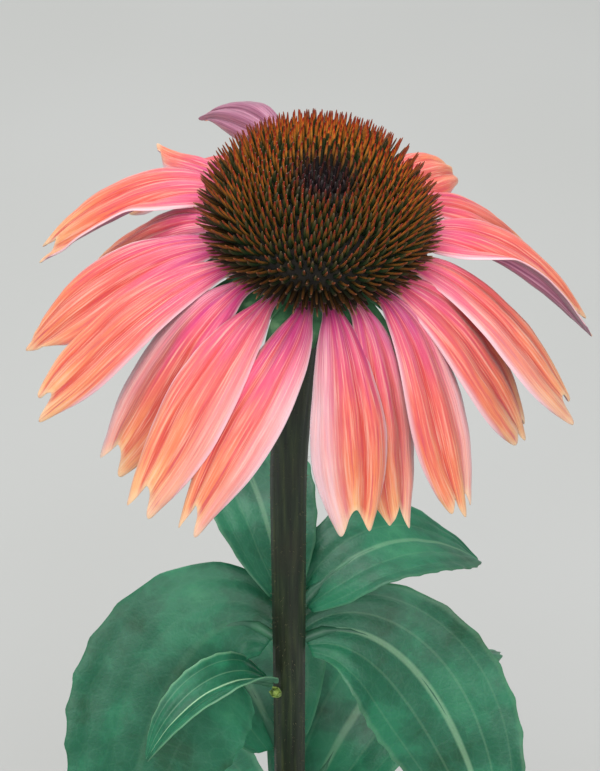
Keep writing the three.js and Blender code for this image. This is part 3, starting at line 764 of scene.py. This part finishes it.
scales = [bud_part("bud_core", 16, 10, (1.0, 1.0, 2.0), 1.2, (0.6, 0.6, 1.1))]
scale = bud_part("bud_scale", 12, 8, (0.28, 0.75, 1.5), 0.6, (0.8, 0.45, 1.15))
for k in range(BUD_SCALES):
    turn = math.radians(360 * k / BUD_SCALES + 30)
    lean = Matrix.Rotation(turn, 4, "Z") @ Matrix.Translation(Vector(SCALE_PLACE) * MM)
    scales.append(copied(scale, lean @ Matrix.Rotation(math.radians(SCALE_LEAN), 4, "Y")))
dropped(scale)
bud = joined("axil_bud_scales", scales)
bud_lean = Matrix.Rotation(math.radians(BUD_LEAN[0]), 4, "Y") @ Matrix.Rotation(
    math.radians(BUD_LEAN[1]), 4, "X")
bud.data.transform(Matrix.Translation(Vector(BUD_AT) * MM) @ bud_lean)
smoothed(bud)

# Young bud scale: tender yellow-green, greener at the foot.
bud.data.materials.append(
    mottled("young_bud_scale", 700.0, 3.0, [(0.35, "#5f7c3c"), (0.65, "#94a852")], 0.5))
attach(bud, "root")
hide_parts("axil_bud")

# The green cup and bracts: narrow pointed leaflets in rows under the petals, spread and curled down.
# They grow from a shallow cup on the stem's top, and each petal passes between them.
# Columns: how many, length, sag at the tip, height of the root, turn of the whole row.
BRACT_ROWS = [(14, 12.0, 2.2, -4.4, 9), (14, 15.5, 3.4, -5.6, 21), (14, 15.0, 6.2, -6.6, 0)]
CUP_OUTLINE = [
    (2.0, -9), (5, -9), (7.6, -8.5), (9.8, -7.5), (11.4, -6.4), (12.2, -5.4), (12.2, -4.4), (8, -3.6),
    (2, -3.6),
]
BRACT_ROOT = 10.2
BRACT_LENGTH = 12
BRACT_WIDTH = 3.4
BRACT_STEPS = 10
BRACT_OUTLINE = [(0, 0.85), (0.3, 1.0), (0.6, 0.75), (0.85, 0.35), (1, 0.08)]
BRACT_THICKNESS = 0.35
cup = thrown("bract_cup", CUP_OUTLINE, 48)
bract = flat_sheet("bract", BRACT_LENGTH, BRACT_WIDTH, BRACT_STEPS, 4)
for row in range(BRACT_STEPS + 1):
    grab(lambda s, u: abs(s - row / BRACT_STEPS) < 0.01)
    spread = along(BRACT_OUTLINE, row / BRACT_STEPS)
    resized((1, spread, 1))
grab(lambda s, u: abs(u) > 0.9)
moved(0, 0, BRACT_THICKNESS)
edit_done()
bracts = []
bract_random = random.Random(8)
for count, length, sag, low, turn in BRACT_ROWS:
    for k in range(count):
        reach = length * bract_random.uniform(0.88, 1.1)
        drop = sag * bract_random.uniform(0.7, 1.3)
        one = copied(bract, Matrix.Diagonal((reach / BRACT_LENGTH, 1, 1, 1)))
        points = [(BRACT_ROOT + part * reach, 0, low + rise) for part, rise in (
            (0, 0), (0.3, 0.5), (0.7, 0.2), (1, -drop))]
        bent_along([one], points, (0, 0, 0))
        around = math.radians(360 * k / count + turn + bract_random.uniform(-4, 4))
        one.data.transform(Matrix.Rotation(around, 4, "Z"))
        thickened(one, BRACT_THICKNESS, (), offset=-1)
        bracts.append(one)
dropped(bract)
bract_ring = joined("bract_ring", [cup] + bracts)
bract_ring.data.transform(BLOOM)
smoothed(bract_ring)

# Bract: leathery mid green, mottled paler, with fine hairs, so it looks soft and dull.
bract_green, tree = new_material("green_bract")
place = object_place(tree)
mottle = noise_at(place, 240.0, 4.0)
leathery = ramped(mottle, [(0.35, "#2c5a3a"), (0.55, "#40754c"), (0.7, "#6c9a6c")])
grain = noise_at(place, 2200.0)
downy = relief(grain, 0.4, 0.0002)
surfaced(tree, {"Base Color": leathery, "Roughness": 0.6, "Sheen Weight": 0.15, "Normal": downy})
bract_ring.data.materials.clear()
bract_ring.data.materials.append(bract_green)
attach(bract_ring, "root")
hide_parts("bracts")

# The petals: twenty long ray florets, each with two grooves along it and small teeth at the tip.
# Each grows from the ring under the cone, rises a little and arches down, and some lie over others.
PETAL_RING_RADIUS = 13
PETAL_RING_DROP = 3
PETAL_LENGTH = 42
PETAL_WIDTH = 13.5
PETAL_THICKNESS = 0.4
PETAL_ARCH = 1.75
GROOVE_DEPTH = 0.95
PETAL_SWELL = 1.1
ROOT_PULL = 0.36
TIP_PULL = 0.34
TURNED_FROM = 0.15
TURN_FOLDS = (0.3, 0.55)
NARROW_FROM = 0.4
TEETH_FROM = 0.55
TEETH_EASE = 6
FLAT_SHARE = 0.35
PETAL_ROWS = 36
PETAL_COLUMNS = 18
PETAL_OUTLINE = [
    (0, 0.2), (0.1, 0.28), (0.18, 0.48), (0.3, 0.7), (0.5, 0.94), (0.68, 1), (0.82, 0.88), (0.93, 0.66),
    (1, 0.5),
]
# How far each tip is cut back, as a share of the length, by the place across it.
TIPS = {
    "two_teeth": [
        (-1, 0.09), (-0.85, 0.01), (-0.6, 0.02), (-0.3, 0.08), (0, 0.12), (0.3, 0.08), (0.6, 0.02),
        (0.85, 0), (1, 0.08)],
    "three_teeth": [
        (-1, 0.08), (-0.8, 0.01), (-0.4, 0.09), (-0.05, 0), (0.15, 0.01), (0.45, 0.1), (0.8, 0.03),
        (1, 0.1)],
    "long_left": [(-1, 0.09), (-0.8, 0), (-0.5, 0.04), (-0.2, 0.12), (0.2, 0.06), (0.6, 0.05), (1, 0.14)],
    "long_right": [(-1, 0.14), (-0.6, 0.05), (-0.2, 0.06), (0.2, 0.12), (0.5, 0.04), (0.8, 0), (1, 0.09)],
    "pointed": [(-1, 0.16), (-0.6, 0.07), (-0.2, 0.015), (0, 0), (0.3, 0.02), (0.6, 0.07), (1, 0.16)],
}
# Columns: tip, place on the ring, way it heads, reach, drop, lift at the root, fall at the tip, width,
# roll, how much narrower the tip is, warmth (0 mauve to 1 orange; its low values on some back petals are
# painted shade) and the side of the painted pale sheen.
PETALS = {
    "petal_left_upper": ("pointed", -171, -172, 39, 26, 26, 60, 13.5, 12, 0.1, 0.45, 0.2),
    "petal_left": ("long_left", -156, -158, 40.5, 27.5, 20, 58, 13.5, -2, 0, 0.7, 0.0),
    "petal_left_lower": ("two_teeth", -139, -141.5, 32.5, 32.5, 22, 62, 14.5, 0, 0, 0.5, -0.7),
    "petal_front_left": ("two_teeth", -120, -126.3, 39, 26.5, 22, 60, 13.5, -4, 0.1, 0.75, 0.4),
    "petal_front_left_inner": ("two_teeth", -97, -119.5, 39.5, 25.5, 26, 58, 14, -12, 0.3, 0.5, 0.45),
    "petal_front": ("two_teeth", -80, -75.5, 31, 30, 25, 64, 14, -2, 0, 0.5, -0.8),
    "petal_front_right_inner": ("long_left", -63, -64, 29, 36, 22, 62, 12.5, 6, 0, 0.45, 0.5),
    "petal_front_right": ("three_teeth", -44, -52, 34, 32, 22, 62, 13.2, 8, 0.1, 0.5, 0.7),
    "petal_right_lower": ("three_teeth", -31, -22.5, 33, 29.5, 26, 74, 17, 4, 0.1, 0.8, 0.0),
    "petal_right": ("long_right", -12, -19, 40.5, 25.5, 24, 55, 14, 14, 0, 0.85, -0.3),
    "petal_right_upper": ("two_teeth", 8, 0.5, 41, 22, 26, 60, 16, -6, 0.3, 0.75, 0.0),
    "petal_right_far": ("pointed", 28, 20, 36, 23, 44, 66, 10, 4, 0.4, 0.8, 0.0),
    "petal_back_right": ("two_teeth", 40, 42, 22.5, 5, 84, 86, 12, -10, 0.2, 0.5, 0.0),
    "petal_back_1": ("three_teeth", 66, 66, 34, 28, 26, 60, 13, 0, 0, 0.6, 0.3),
    "petal_back_2": ("two_teeth", 86, 84, 34, 28, 24, 60, 13, 0, 0, 0.5, -0.4),
    "petal_back_left": ("pointed", 106, 124, 32, 10, 50, 62, 9, 44, 0.5, 0.3, 0.0),
    "petal_back_3": ("three_teeth", 127, 140, 33, 27, 22, 60, 13, 0, 0, 0.6, 0.0),
    "petal_left_back": ("pointed", 140, 127, 32, 12, 42, 20, 10, -20, 0.3, 0.1, 0.0),
    "petal_left_top": ("two_teeth", 152, 169, 39.5, 23, 44, 62, 13.5, 16, 0.3, 0.75, 0.0),
    "petal_left_mid": ("long_left", 172, 157, 31, 27, 32, 60, 12, 6, 0, 0.5, 0.0),
}
# How far one side is turned up lengthwise, in degrees: below 0 the right side, above 0 the left one.
TURNED_UP = {"petal_right_upper": -95, "petal_left_top": 85}
# These lie the other way up, so their underside faces the light.
TURNED_OVER = ("petal_back_left",)


def petal_path(at, heads, reach, drop, lift, fall):
    """The four points of the cubic curve that a petal's middle line follows, in the bloom's frame."""
    out = polar(math.radians(at))
    on = polar(math.radians(heads))
    up = Vector((0, 0, 1))
    start = out * PETAL_RING_RADIUS - up * PETAL_RING_DROP
    end = start + on * reach - up * drop
    chord = (end - start).length
    lift, fall = math.radians(lift), math.radians(fall)
    first = start + (out * math.cos(lift) + up * math.sin(lift)) * ROOT_PULL * chord
    second = end + (up * math.sin(fall) - on * math.cos(fall)) * TIP_PULL * chord
    return [start, first, second, end]


def flat_petal(name, tip):
    """A petal lying flat along X: arched across, with two grooves, and cut into teeth at the tip."""
    petal = flat_sheet(name, PETAL_LENGTH, PETAL_WIDTH, PETAL_ROWS, PETAL_COLUMNS)
    for column in range(PETAL_COLUMNS + 1):
        across = 2 * column / PETAL_COLUMNS - 1
        groove = 0.5 * (1 - math.cos(3 * math.pi * across))
        grab(lambda s, u: abs(u - across) < 0.01)
        moved(0, 0, -PETAL_ARCH * across ** 2 - GROOVE_DEPTH * groove)
    for row in range(PETAL_ROWS + 1):
        part = row / PETAL_ROWS
        spread = along(PETAL_OUTLINE, part)
        grab(lambda s, u: abs(s - part) < 0.001)
        resized((1, spread, FLAT_SHARE + (1 - FLAT_SHARE) * spread))
        if part < TEETH_FROM:
            continue
        for column in range(PETAL_COLUMNS + 1):
            across = 2 * column / PETAL_COLUMNS - 1
            back = along(TIPS[tip], -across) * PETAL_LENGTH * part ** TEETH_EASE
            grab(lambda s, u: abs(s - part) < 0.001 and abs(u - across) < 0.01)
            moved(-back, 0, 0)
    edit_done()
    return petal


def shaped(petal, taper, turned_up):
    """Narrows a flat petal towards its tip, and turns one of its sides up."""
    select_only(petal)
    bpy.ops.object.mode_set(mode="EDIT")
    side = -1 if turned_up < 0 else 1
    for row in range(PETAL_ROWS + 1):
        part = row / PETAL_ROWS
        if taper and part > NARROW_FROM:
            ease = (part - NARROW_FROM) / (1 - NARROW_FROM)
            grab(lambda s, u: abs(s - part) < 0.001)
            resized((1, 1 - taper * ease ** 2 * (3 - 2 * ease), 1))
        if turned_up and part > TURNED_FROM:
            half = 0.5 * PETAL_WIDTH * MM * along(PETAL_OUTLINE, part)
            turn = abs(math.radians(turned_up)) * min((part - TURNED_FROM) / 0.3, 1)
            for fold in TURN_FOLDS:
                grab(lambda s, u: abs(s - part) < 0.001 and u * side > fold + 0.01)
                bpy.ops.transform.rotate(
                    value=-side * turn / 2, orient_axis="X", center_override=(0, side * fold * half, 0))
    edit_done()


flat_petals = {tip: flat_petal(f"flat_{tip}", tip) for tip in TIPS}

# Petal, upper side: soft and slightly waxy. Magenta pink at the root, darkened there partly as painted
# shade by the cone, turns coral, then peach at the tip, streaked along its length, with orange red in the
# grooves, a painted pale mauve sheen on one side and a painted pale reflection along its edges.
petal_top, tree = new_material("petal_upper_side")
coords = add_node(tree, "TexCoord", {})
sheet_place = add_node(tree, "SeparateXYZ", {"Vector": coords.outputs["UV"]})
warmth_and_shade, phase, painted_sheen_side = [own_value(tree, key) for key in ("warmth_and_shade", "phase", "painted_sheen_side")]
u = maths("MULTIPLY_ADD", sheet_place.outputs["Y"], 2.0, -1.0)
s = sheet_place.outputs["X"]


def product(first, *others):
    """Another node's output multiplied by more outputs or values, one by one."""
    for other in others:
        first = maths("MULTIPLY", first, other)
    return first


def streaked(s, u, phase, along_scale, across_scale, detail):
    """Noise drawn out along a petal, different on each one."""
    place = add_node(s.id_data, "CombineXYZ", {
        "X": product(s, along_scale), "Y": product(u, across_scale),
        "Z": product(phase, 37.0)})
    return noise_at(place.outputs["Vector"], 1.0, detail, 0.55)


broad = streaked(s, u, phase, 1.4, 3.4, 2.0)
streaks = streaked(s, u, phase, 2.0, 9.0, 3.0)
fine = streaked(s, u, phase, 4.0, 22.0, 4.0)
shifted = s
# Warmth moves the colours along the petal; where it is low on back petals it paints shade.
for pattern, reach in ((broad, 0.44), (streaks, 0.3), (warmth_and_shade, 0.3)):
    shift = maths("MULTIPLY_ADD", pattern, reach, -reach / 2)
    shifted = maths("ADD", shifted, shift)
# The deep magenta at the root is partly the petal's own colour and partly painted shade next to the cone.
base = ramped(shifted, [
    (0.0, "#9c1a6c"), (0.14, "#bf2c74"), (0.32, "#dc4e70"), (0.55, "#e8685c"), (0.8, "#ec8058"),
    (1.0, "#f2ac74")])
groove_wave = maths("COSINE", product(u, 3 * math.pi))
groove = ranged(groove_wave, -0.1, -1.0, 0.0, 1.0, smooth=True)
red_noise = ranged(streaks, 0.3, 0.55, 0.2, 1.0)
red_along = ranged(s, 0.12, 0.4, 0.2, 0.85)
reddened = mixed(product(groove, red_noise, red_along), base, "#cc3426")
cream_noise = ranged(fine, 0.5, 0.7, 0.0, 0.55)
creamed = mixed(cream_noise, reddened, "#f8c4ae")
dark_noise = ranged(fine, 0.47, 0.28, 0.0, 0.75)
lined = mixed(dark_noise, creamed, "#c93f62")
# A painted pale mauve sheen, a painted highlight, streaked over one side of the petal.
painted_sheen_place = ranged(product(u, painted_sheen_side), 0.05, 0.6, 0.0, 1.0, smooth=True)
painted_sheen_along = ranged(s, 0.1, 0.45, 0.05, 0.8)
painted_sheen_share = product(painted_sheen_place, painted_sheen_along, streaks, 1.7)
painted_sheen_colour = mixed(painted_sheen_share, lined, "#eec6cc")
# A painted pale reflection along both edges of the petal.
edge = ranged(maths("ABSOLUTE", u), 0.84, 1.0, 0.0, 0.75, smooth=True)
painted_rim_reflection = mixed(edge, painted_sheen_colour, "#f6d6de")
tip = ranged(s, 0.93, 1.0, 0.0, 0.55)
tipped = mixed(tip, painted_rim_reflection, "#f7dcb4")
vein_bump = relief(fine, 0.6, 0.0004)
cell_noise = noise_at(coords.outputs["Object"], 2600.0)
cell_bump = relief(cell_noise, 0.2, 0.0001, vein_bump)
surfaced(tree, {
    "Base Color": tipped, "Roughness": 0.42, "Specular IOR Level": 0.45, "Subsurface Weight": 0.12,
    "Subsurface Radius": (1.0, 0.45, 0.35), "Subsurface Scale": 0.0009, "Sheen Weight": 0.12,
    "Normal": cell_bump})

# Petal, underside: paler and duller, a mauve pink with a silvery bloom and raised lines.
petal_under, tree = new_material("petal_underside")
coords = add_node(tree, "TexCoord", {})
sheet_place = add_node(tree, "SeparateXYZ", {"Vector": coords.outputs["UV"]})
phase = own_value(tree, "phase")
lines = streaked(sheet_place.outputs["X"], sheet_place.outputs["Y"], phase, 3.0, 46.0, 3.0)
mauve = ramped(lines, [(0.3, "#7c3c5a"), (0.48, "#9a5a74"), (0.6, "#ad7088"), (0.75, "#c49aa8")])
line_bump = relief(lines, 0.4, 0.0004)
surfaced(tree, {
    "Base Color": mauve, "Roughness": 0.5, "Sheen Weight": 0.2,
    "Subsurface Weight": 0.1, "Subsurface Radius": (1.0, 0.45, 0.35), "Subsurface Scale": 0.0009,
    "Normal": line_bump})

petal_swell = clouds("petal swell", 11)
petal_random = random.Random(3)
for name, row in PETALS.items():
    tip, at, heads, reach, drop, lift, fall, width, roll, taper, warmth_and_shade_value, sheen_side = row
    points = petal_path(at, heads, reach, drop, lift, fall)
    longer, wider = curve_length(points) / PETAL_LENGTH, width / PETAL_WIDTH
    petal = copied(flat_petals[tip], Matrix.Diagonal((longer, wider, 1, 1)))
    petal.name = name
    shaped(petal, taper, TURNED_UP.get(name, 0))
    bent_along([petal], points, (0, roll, roll))
    petal.data.transform(BLOOM)
    displaced(petal, petal_swell, PETAL_SWELL)
    sides = (petal_under, petal_top) if name in TURNED_OVER else (petal_top, petal_under)
    thickened(petal, PETAL_THICKNESS, sides)
    hold(petal, "warmth_and_shade", warmth_and_shade_value)
    hold(petal, "phase", petal_random.random())
    hold(petal, "painted_sheen_side", sheen_side)
    smoothed(petal)
    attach(petal, "root")
    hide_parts("ray_petals")
dropped(*flat_petals.values())

# The cone: a domed heart packed with disc florets in a sunflower spiral.
# Each floret stands behind a stiff curved spine, orange on the side that faces the middle.
SPINES = 900
FLORETS = 620
CORE_OUTLINE = [
    (13.9, -0.9), (14.6, -0.5), (15.8, 0.6), (16.4, 3.2), (15.6, 6.2), (13.2, 9.2), (9.6, 11.4), (5, 12.5),
    (1, 12.7),
]
SPINE_ROOTS = [
    (0, 12.2), (4, 12), (8, 11.2), (11.6, 9), (14.2, 6.4), (15.4, 4.2), (15.4, 2.4), (14.6, 1.2),
    (13.6, 0.8),
]
SPINE_TIPS = [
    (0, 16.1), (4.6, 17), (9.2, 16.9), (13.6, 15.3), (17.8, 12.8), (20.9, 9.4), (22.2, 5.6), (21.4, 2.2),
    (19.8, 0),
]
GOLDEN_ANGLE = 137.508
SPINE_KEYS = ("reach", "inward", "tone", "rim")
SPINE_WIDTH = 5.4
TUBE_WIDTH = 7.5
TUBE_SHARE = 0.8
DOME_CUTS = 400
# The share of its height that a spine has by its place along the dome. The first ones are thinner too.
SPINE_HEIGHTS = [(0, 0.86), (0.12, 0.9), (0.25, 1.0), (1, 1.0)]
YOUNG_REACH = 0.1
YOUNG_WIDTH = 0.8
core = thrown("cone_core", CORE_OUTLINE, 48)


def read_line(points, t):
    """A point of the line through these points, t from 0 to 1 along it by count."""
    pairs = [(k / (len(points) - 1), point) for k, point in enumerate(points)]
    return [along([(place, point[axis]) for place, point in pairs], t) for axis in (0, 1)]


# One spine of unit height: keeled, bowed outwards and drawn to a point. Its attributes say how far
# up it a point lies, and how far it faces the middle of the cone.
# Columns: height of the ring, how far it bows outwards, radius.
SPINE_RINGS = [
    (0.0, 0.0, 0.06), (0.3, 0.04, 0.056), (0.55, 0.06, 0.05), (0.78, 0.05, 0.042), (0.93, 0.02, 0.03),
    (1.0, 0.0, 0.012),
]
spine = primitive("spine", bpy.ops.mesh.primitive_circle_add, vertices=6,
                  radius=SPINE_RINGS[0][2], fill_type="NGON")
edit_all()
raised([((out, 0, up), wide) for up, out, wide in SPINE_RINGS], 1)
for key in SPINE_KEYS:
    spine.data.attributes.new(key, "FLOAT", "POINT")
middles = [(up, out) for up, out, wide in SPINE_RINGS]
for k, vertex in enumerate(spine.data.vertices):
    middle = along(middles, vertex.co.z)
    spine.data.attributes["reach"].data[k].value = vertex.co.z
    spine.data.attributes["inward"].data[k].value = 1.0 if vertex.co.x < middle - 0.01 else (
        0.3 if vertex.co.x < middle + 0.01 else 0.0)


def even_places(count):
    """Places along the dome, from its top to its rim, with an equal share of it for each floret."""
    area = [0.0]
    for k in range(DOME_CUTS):
        (r0, z0), (r1, z1) = [read_line(SPINE_ROOTS, cut / DOME_CUTS) for cut in (k, k + 1)]
        area.append(area[-1] + (r0 + r1) * math.hypot(r1 - r0, z1 - z0))
    places = []
    k = 0
    for i in range(count):
        while area[k] < area[-1] * (i + 0.5) / count:
            k += 1
        places.append(k / DOME_CUTS)
    return places


def planted(count, thickness, tallness, seed, offset):
    """Copies of the spine set round the dome by the golden angle, each as thick and as tall as asked."""
    chance = random.Random(seed)
    stand = []
    for i, t in enumerate(even_places(count)):
        turn = math.radians(GOLDEN_ANGLE * (i + offset))
        (root_r, root_z), (tip_r, tip_z) = read_line(SPINE_ROOTS, t), read_line(SPINE_TIPS, t)
        out = polar(turn)
        up = Vector((0, 0, 1))
        root = out * root_r + up * root_z
        tip = out * (tip_r + chance.uniform(-0.2, 0.2)) + up * (tip_z + chance.uniform(-0.3, 0.2))
        tip += up.cross(out) * chance.uniform(-0.3, 0.3)
        rise = tip - root
        tall = rise.length * tallness * along(SPINE_HEIGHTS, t)
        ahead = rise.normalized()
        bowed = (out - ahead * out.dot(ahead)).normalized()
        turned = Matrix((bowed, ahead.cross(bowed), ahead)).transposed().to_4x4()
        wide = thickness * (1 if t > YOUNG_REACH else YOUNG_WIDTH)
        size = Matrix.Diagonal((wide * MM, wide * MM, tall * MM, 1))
        one = copied(spine, Matrix.Translation(root * MM) @ turned @ size)
        points = len(one.data.vertices)
        one.data.attributes["tone"].data.foreach_set("value", [chance.random()] * points)
        one.data.attributes["rim"].data.foreach_set("value", [t] * points)
        stand.append(one)
    return stand


cone_spines = joined("cone_spines", planted(SPINES, SPINE_WIDTH, 1.0, 11, 0))
cone_florets = joined("cone_florets", planted(FLORETS, TUBE_WIDTH, TUBE_SHARE, 12, 0.5))
dropped(spine)
for piece in (core, cone_spines, cone_florets):
    piece.data.transform(BLOOM)
    smoothed(piece)

# Floret spine: hard, smooth and glossy as horn. Olive brown outside and orange inside, with a
# dark red point. The lowest are darker, partly from age and partly as painted shade low on the dome, and
# those at the very top are young and purplish.
spine_horn, tree = new_material("floret_spine")
reach, inward, tone, rim = [own_value(tree, key) for key in SPINE_KEYS]
outer = ramped(reach, [
    (0.0, "#16240f"), (0.35, "#2b3a1b"), (0.6, "#454722"), (0.8, "#6c4a24"), (0.93, "#7e2c1c")])
inner = ramped(reach, [
    (0.0, "#3c4420"), (0.3, "#94662a"), (0.58, "#d68c3a"), (0.8, "#d66c2a"), (0.93, "#9c2c1c")])
facing = mixed(inward, outer, inner)
# Darker towards the rim of the dome: partly old florets, partly painted shade under the dome's bulge beside
# the petals.
old_and_shaded = ranged(rim, 0.42, 0.74, 0.0, 0.92)
old_and_shaded_colour = ramped(
    reach, [(0.0, "#15120c"), (0.55, "#261d14"), (0.85, "#3c2c1c"), (1.0, "#7c5830")])
aged_and_shaded = mixed(old_and_shaded, facing, old_and_shaded_colour)
young = ranged(rim, 0.1, 0.22, 0.9, 0.0)
topped = mixed(young, aged_and_shaded, "#2b1a24")
toned = ranged(tone, 0.0, 1.0, 0.75, 1.3)
varied = add_node(tree, "HueSaturation", {"Value": toned, "Color": topped})
surfaced(tree, {
    "Base Color": varied.outputs["Color"], "Roughness": 0.35, "Specular IOR Level": 0.5})
cone_spines.data.materials.append(spine_horn)

# Floret tube: soft green, brown at its mouth, and mostly hidden between the spines.
floret_tube, tree = new_material("floret_tube")
reach = own_value(tree, "reach")
rim = own_value(tree, "rim")
soft = ramped(reach, [(0.0, "#14260f"), (0.5, "#1f3a1a"), (0.8, "#33401c"), (1.0, "#4a3a1e")])
# Darker towards the rim of the dome: partly old florets, partly painted shade.
old_and_shaded = ranged(rim, 0.6, 0.8, 0.0, 0.9)
faded_and_shaded = mixed(old_and_shaded, soft, "#2c1b15")
young = ranged(rim, 0.1, 0.22, 0.95, 0.0)
topped = mixed(young, faded_and_shaded, "#21151c")
surfaced(tree, {"Base Color": topped, "Roughness": 0.6})
cone_florets.data.materials.append(floret_tube)

# Heart of the cone: pithy and dark, seen only as shade between the spines.
heart, tree = new_material("cone_heart")
place = object_place(tree)
pitted = add_node(tree, "TexVoronoi", {"Vector": place, "Scale": 700.0})
dark = ramped(pitted.outputs["Distance"], [(0.0, "#2a2416"), (0.7, "#15100c")])
surfaced(tree, {"Base Color": dark, "Roughness": 0.8})
core.data.materials.append(heart)
for piece in (core, cone_spines, cone_florets):
    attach(piece, "root")
    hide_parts("cone")

# The floor: plain, pale and matt.
FLOOR_SIZE = 8
floor = primitive("floor", bpy.ops.mesh.primitive_plane_add, size=FLOOR_SIZE)
floor.data.materials.append(
    mottled("matt_floor_paint", 3.0, 2.0, [(0.3, "#bcbcb8"), (0.7, "#c0c0bd")], 0.9))

# Soft studio light: a large panel high in front, a second one high at the back, and pale air.
LIT_PLACE = (0, 0, 0.48)
LAMPS = [("key_light", (0.0, -0.8, 1.45), 1.1, 16.0), ("back_light", (-0.2, 0.7, 1.5), 0.7, 12.0)]
AIR_STRENGTH = 0.62
for name, spot, size, watts in LAMPS:
    aim = (Vector(LIT_PLACE) - Vector(spot)).to_track_quat("-Z", "Y").to_euler()
    lamp = primitive(name, bpy.ops.object.light_add, type="AREA", location=spot, rotation=aim)
    lamp.data.size = size
    lamp.data.energy = watts
world = bpy.data.worlds.new("pale_air")
world.use_nodes = True
world.node_tree.nodes["Background"].inputs["Color"].default_value = linear("#e6eaee")
world.node_tree.nodes["Background"].inputs["Strength"].default_value = AIR_STRENGTH
bpy.context.scene.world = world
bpy.context.scene.view_settings.view_transform = "Standard"

# The camera looks down on the bloom from the front at 46 degrees, close and with a long lens.
CAMERA_PLACE = (0.00236, -0.3226, 0.8077)
CAMERA_TILT = 44.35
LENS = 112.4
camera = primitive("camera", bpy.ops.object.camera_add, location=CAMERA_PLACE,
                   rotation=(math.radians(CAMERA_TILT), 0, 0))
camera.data.lens = LENS
bpy.context.scene.camera = camera
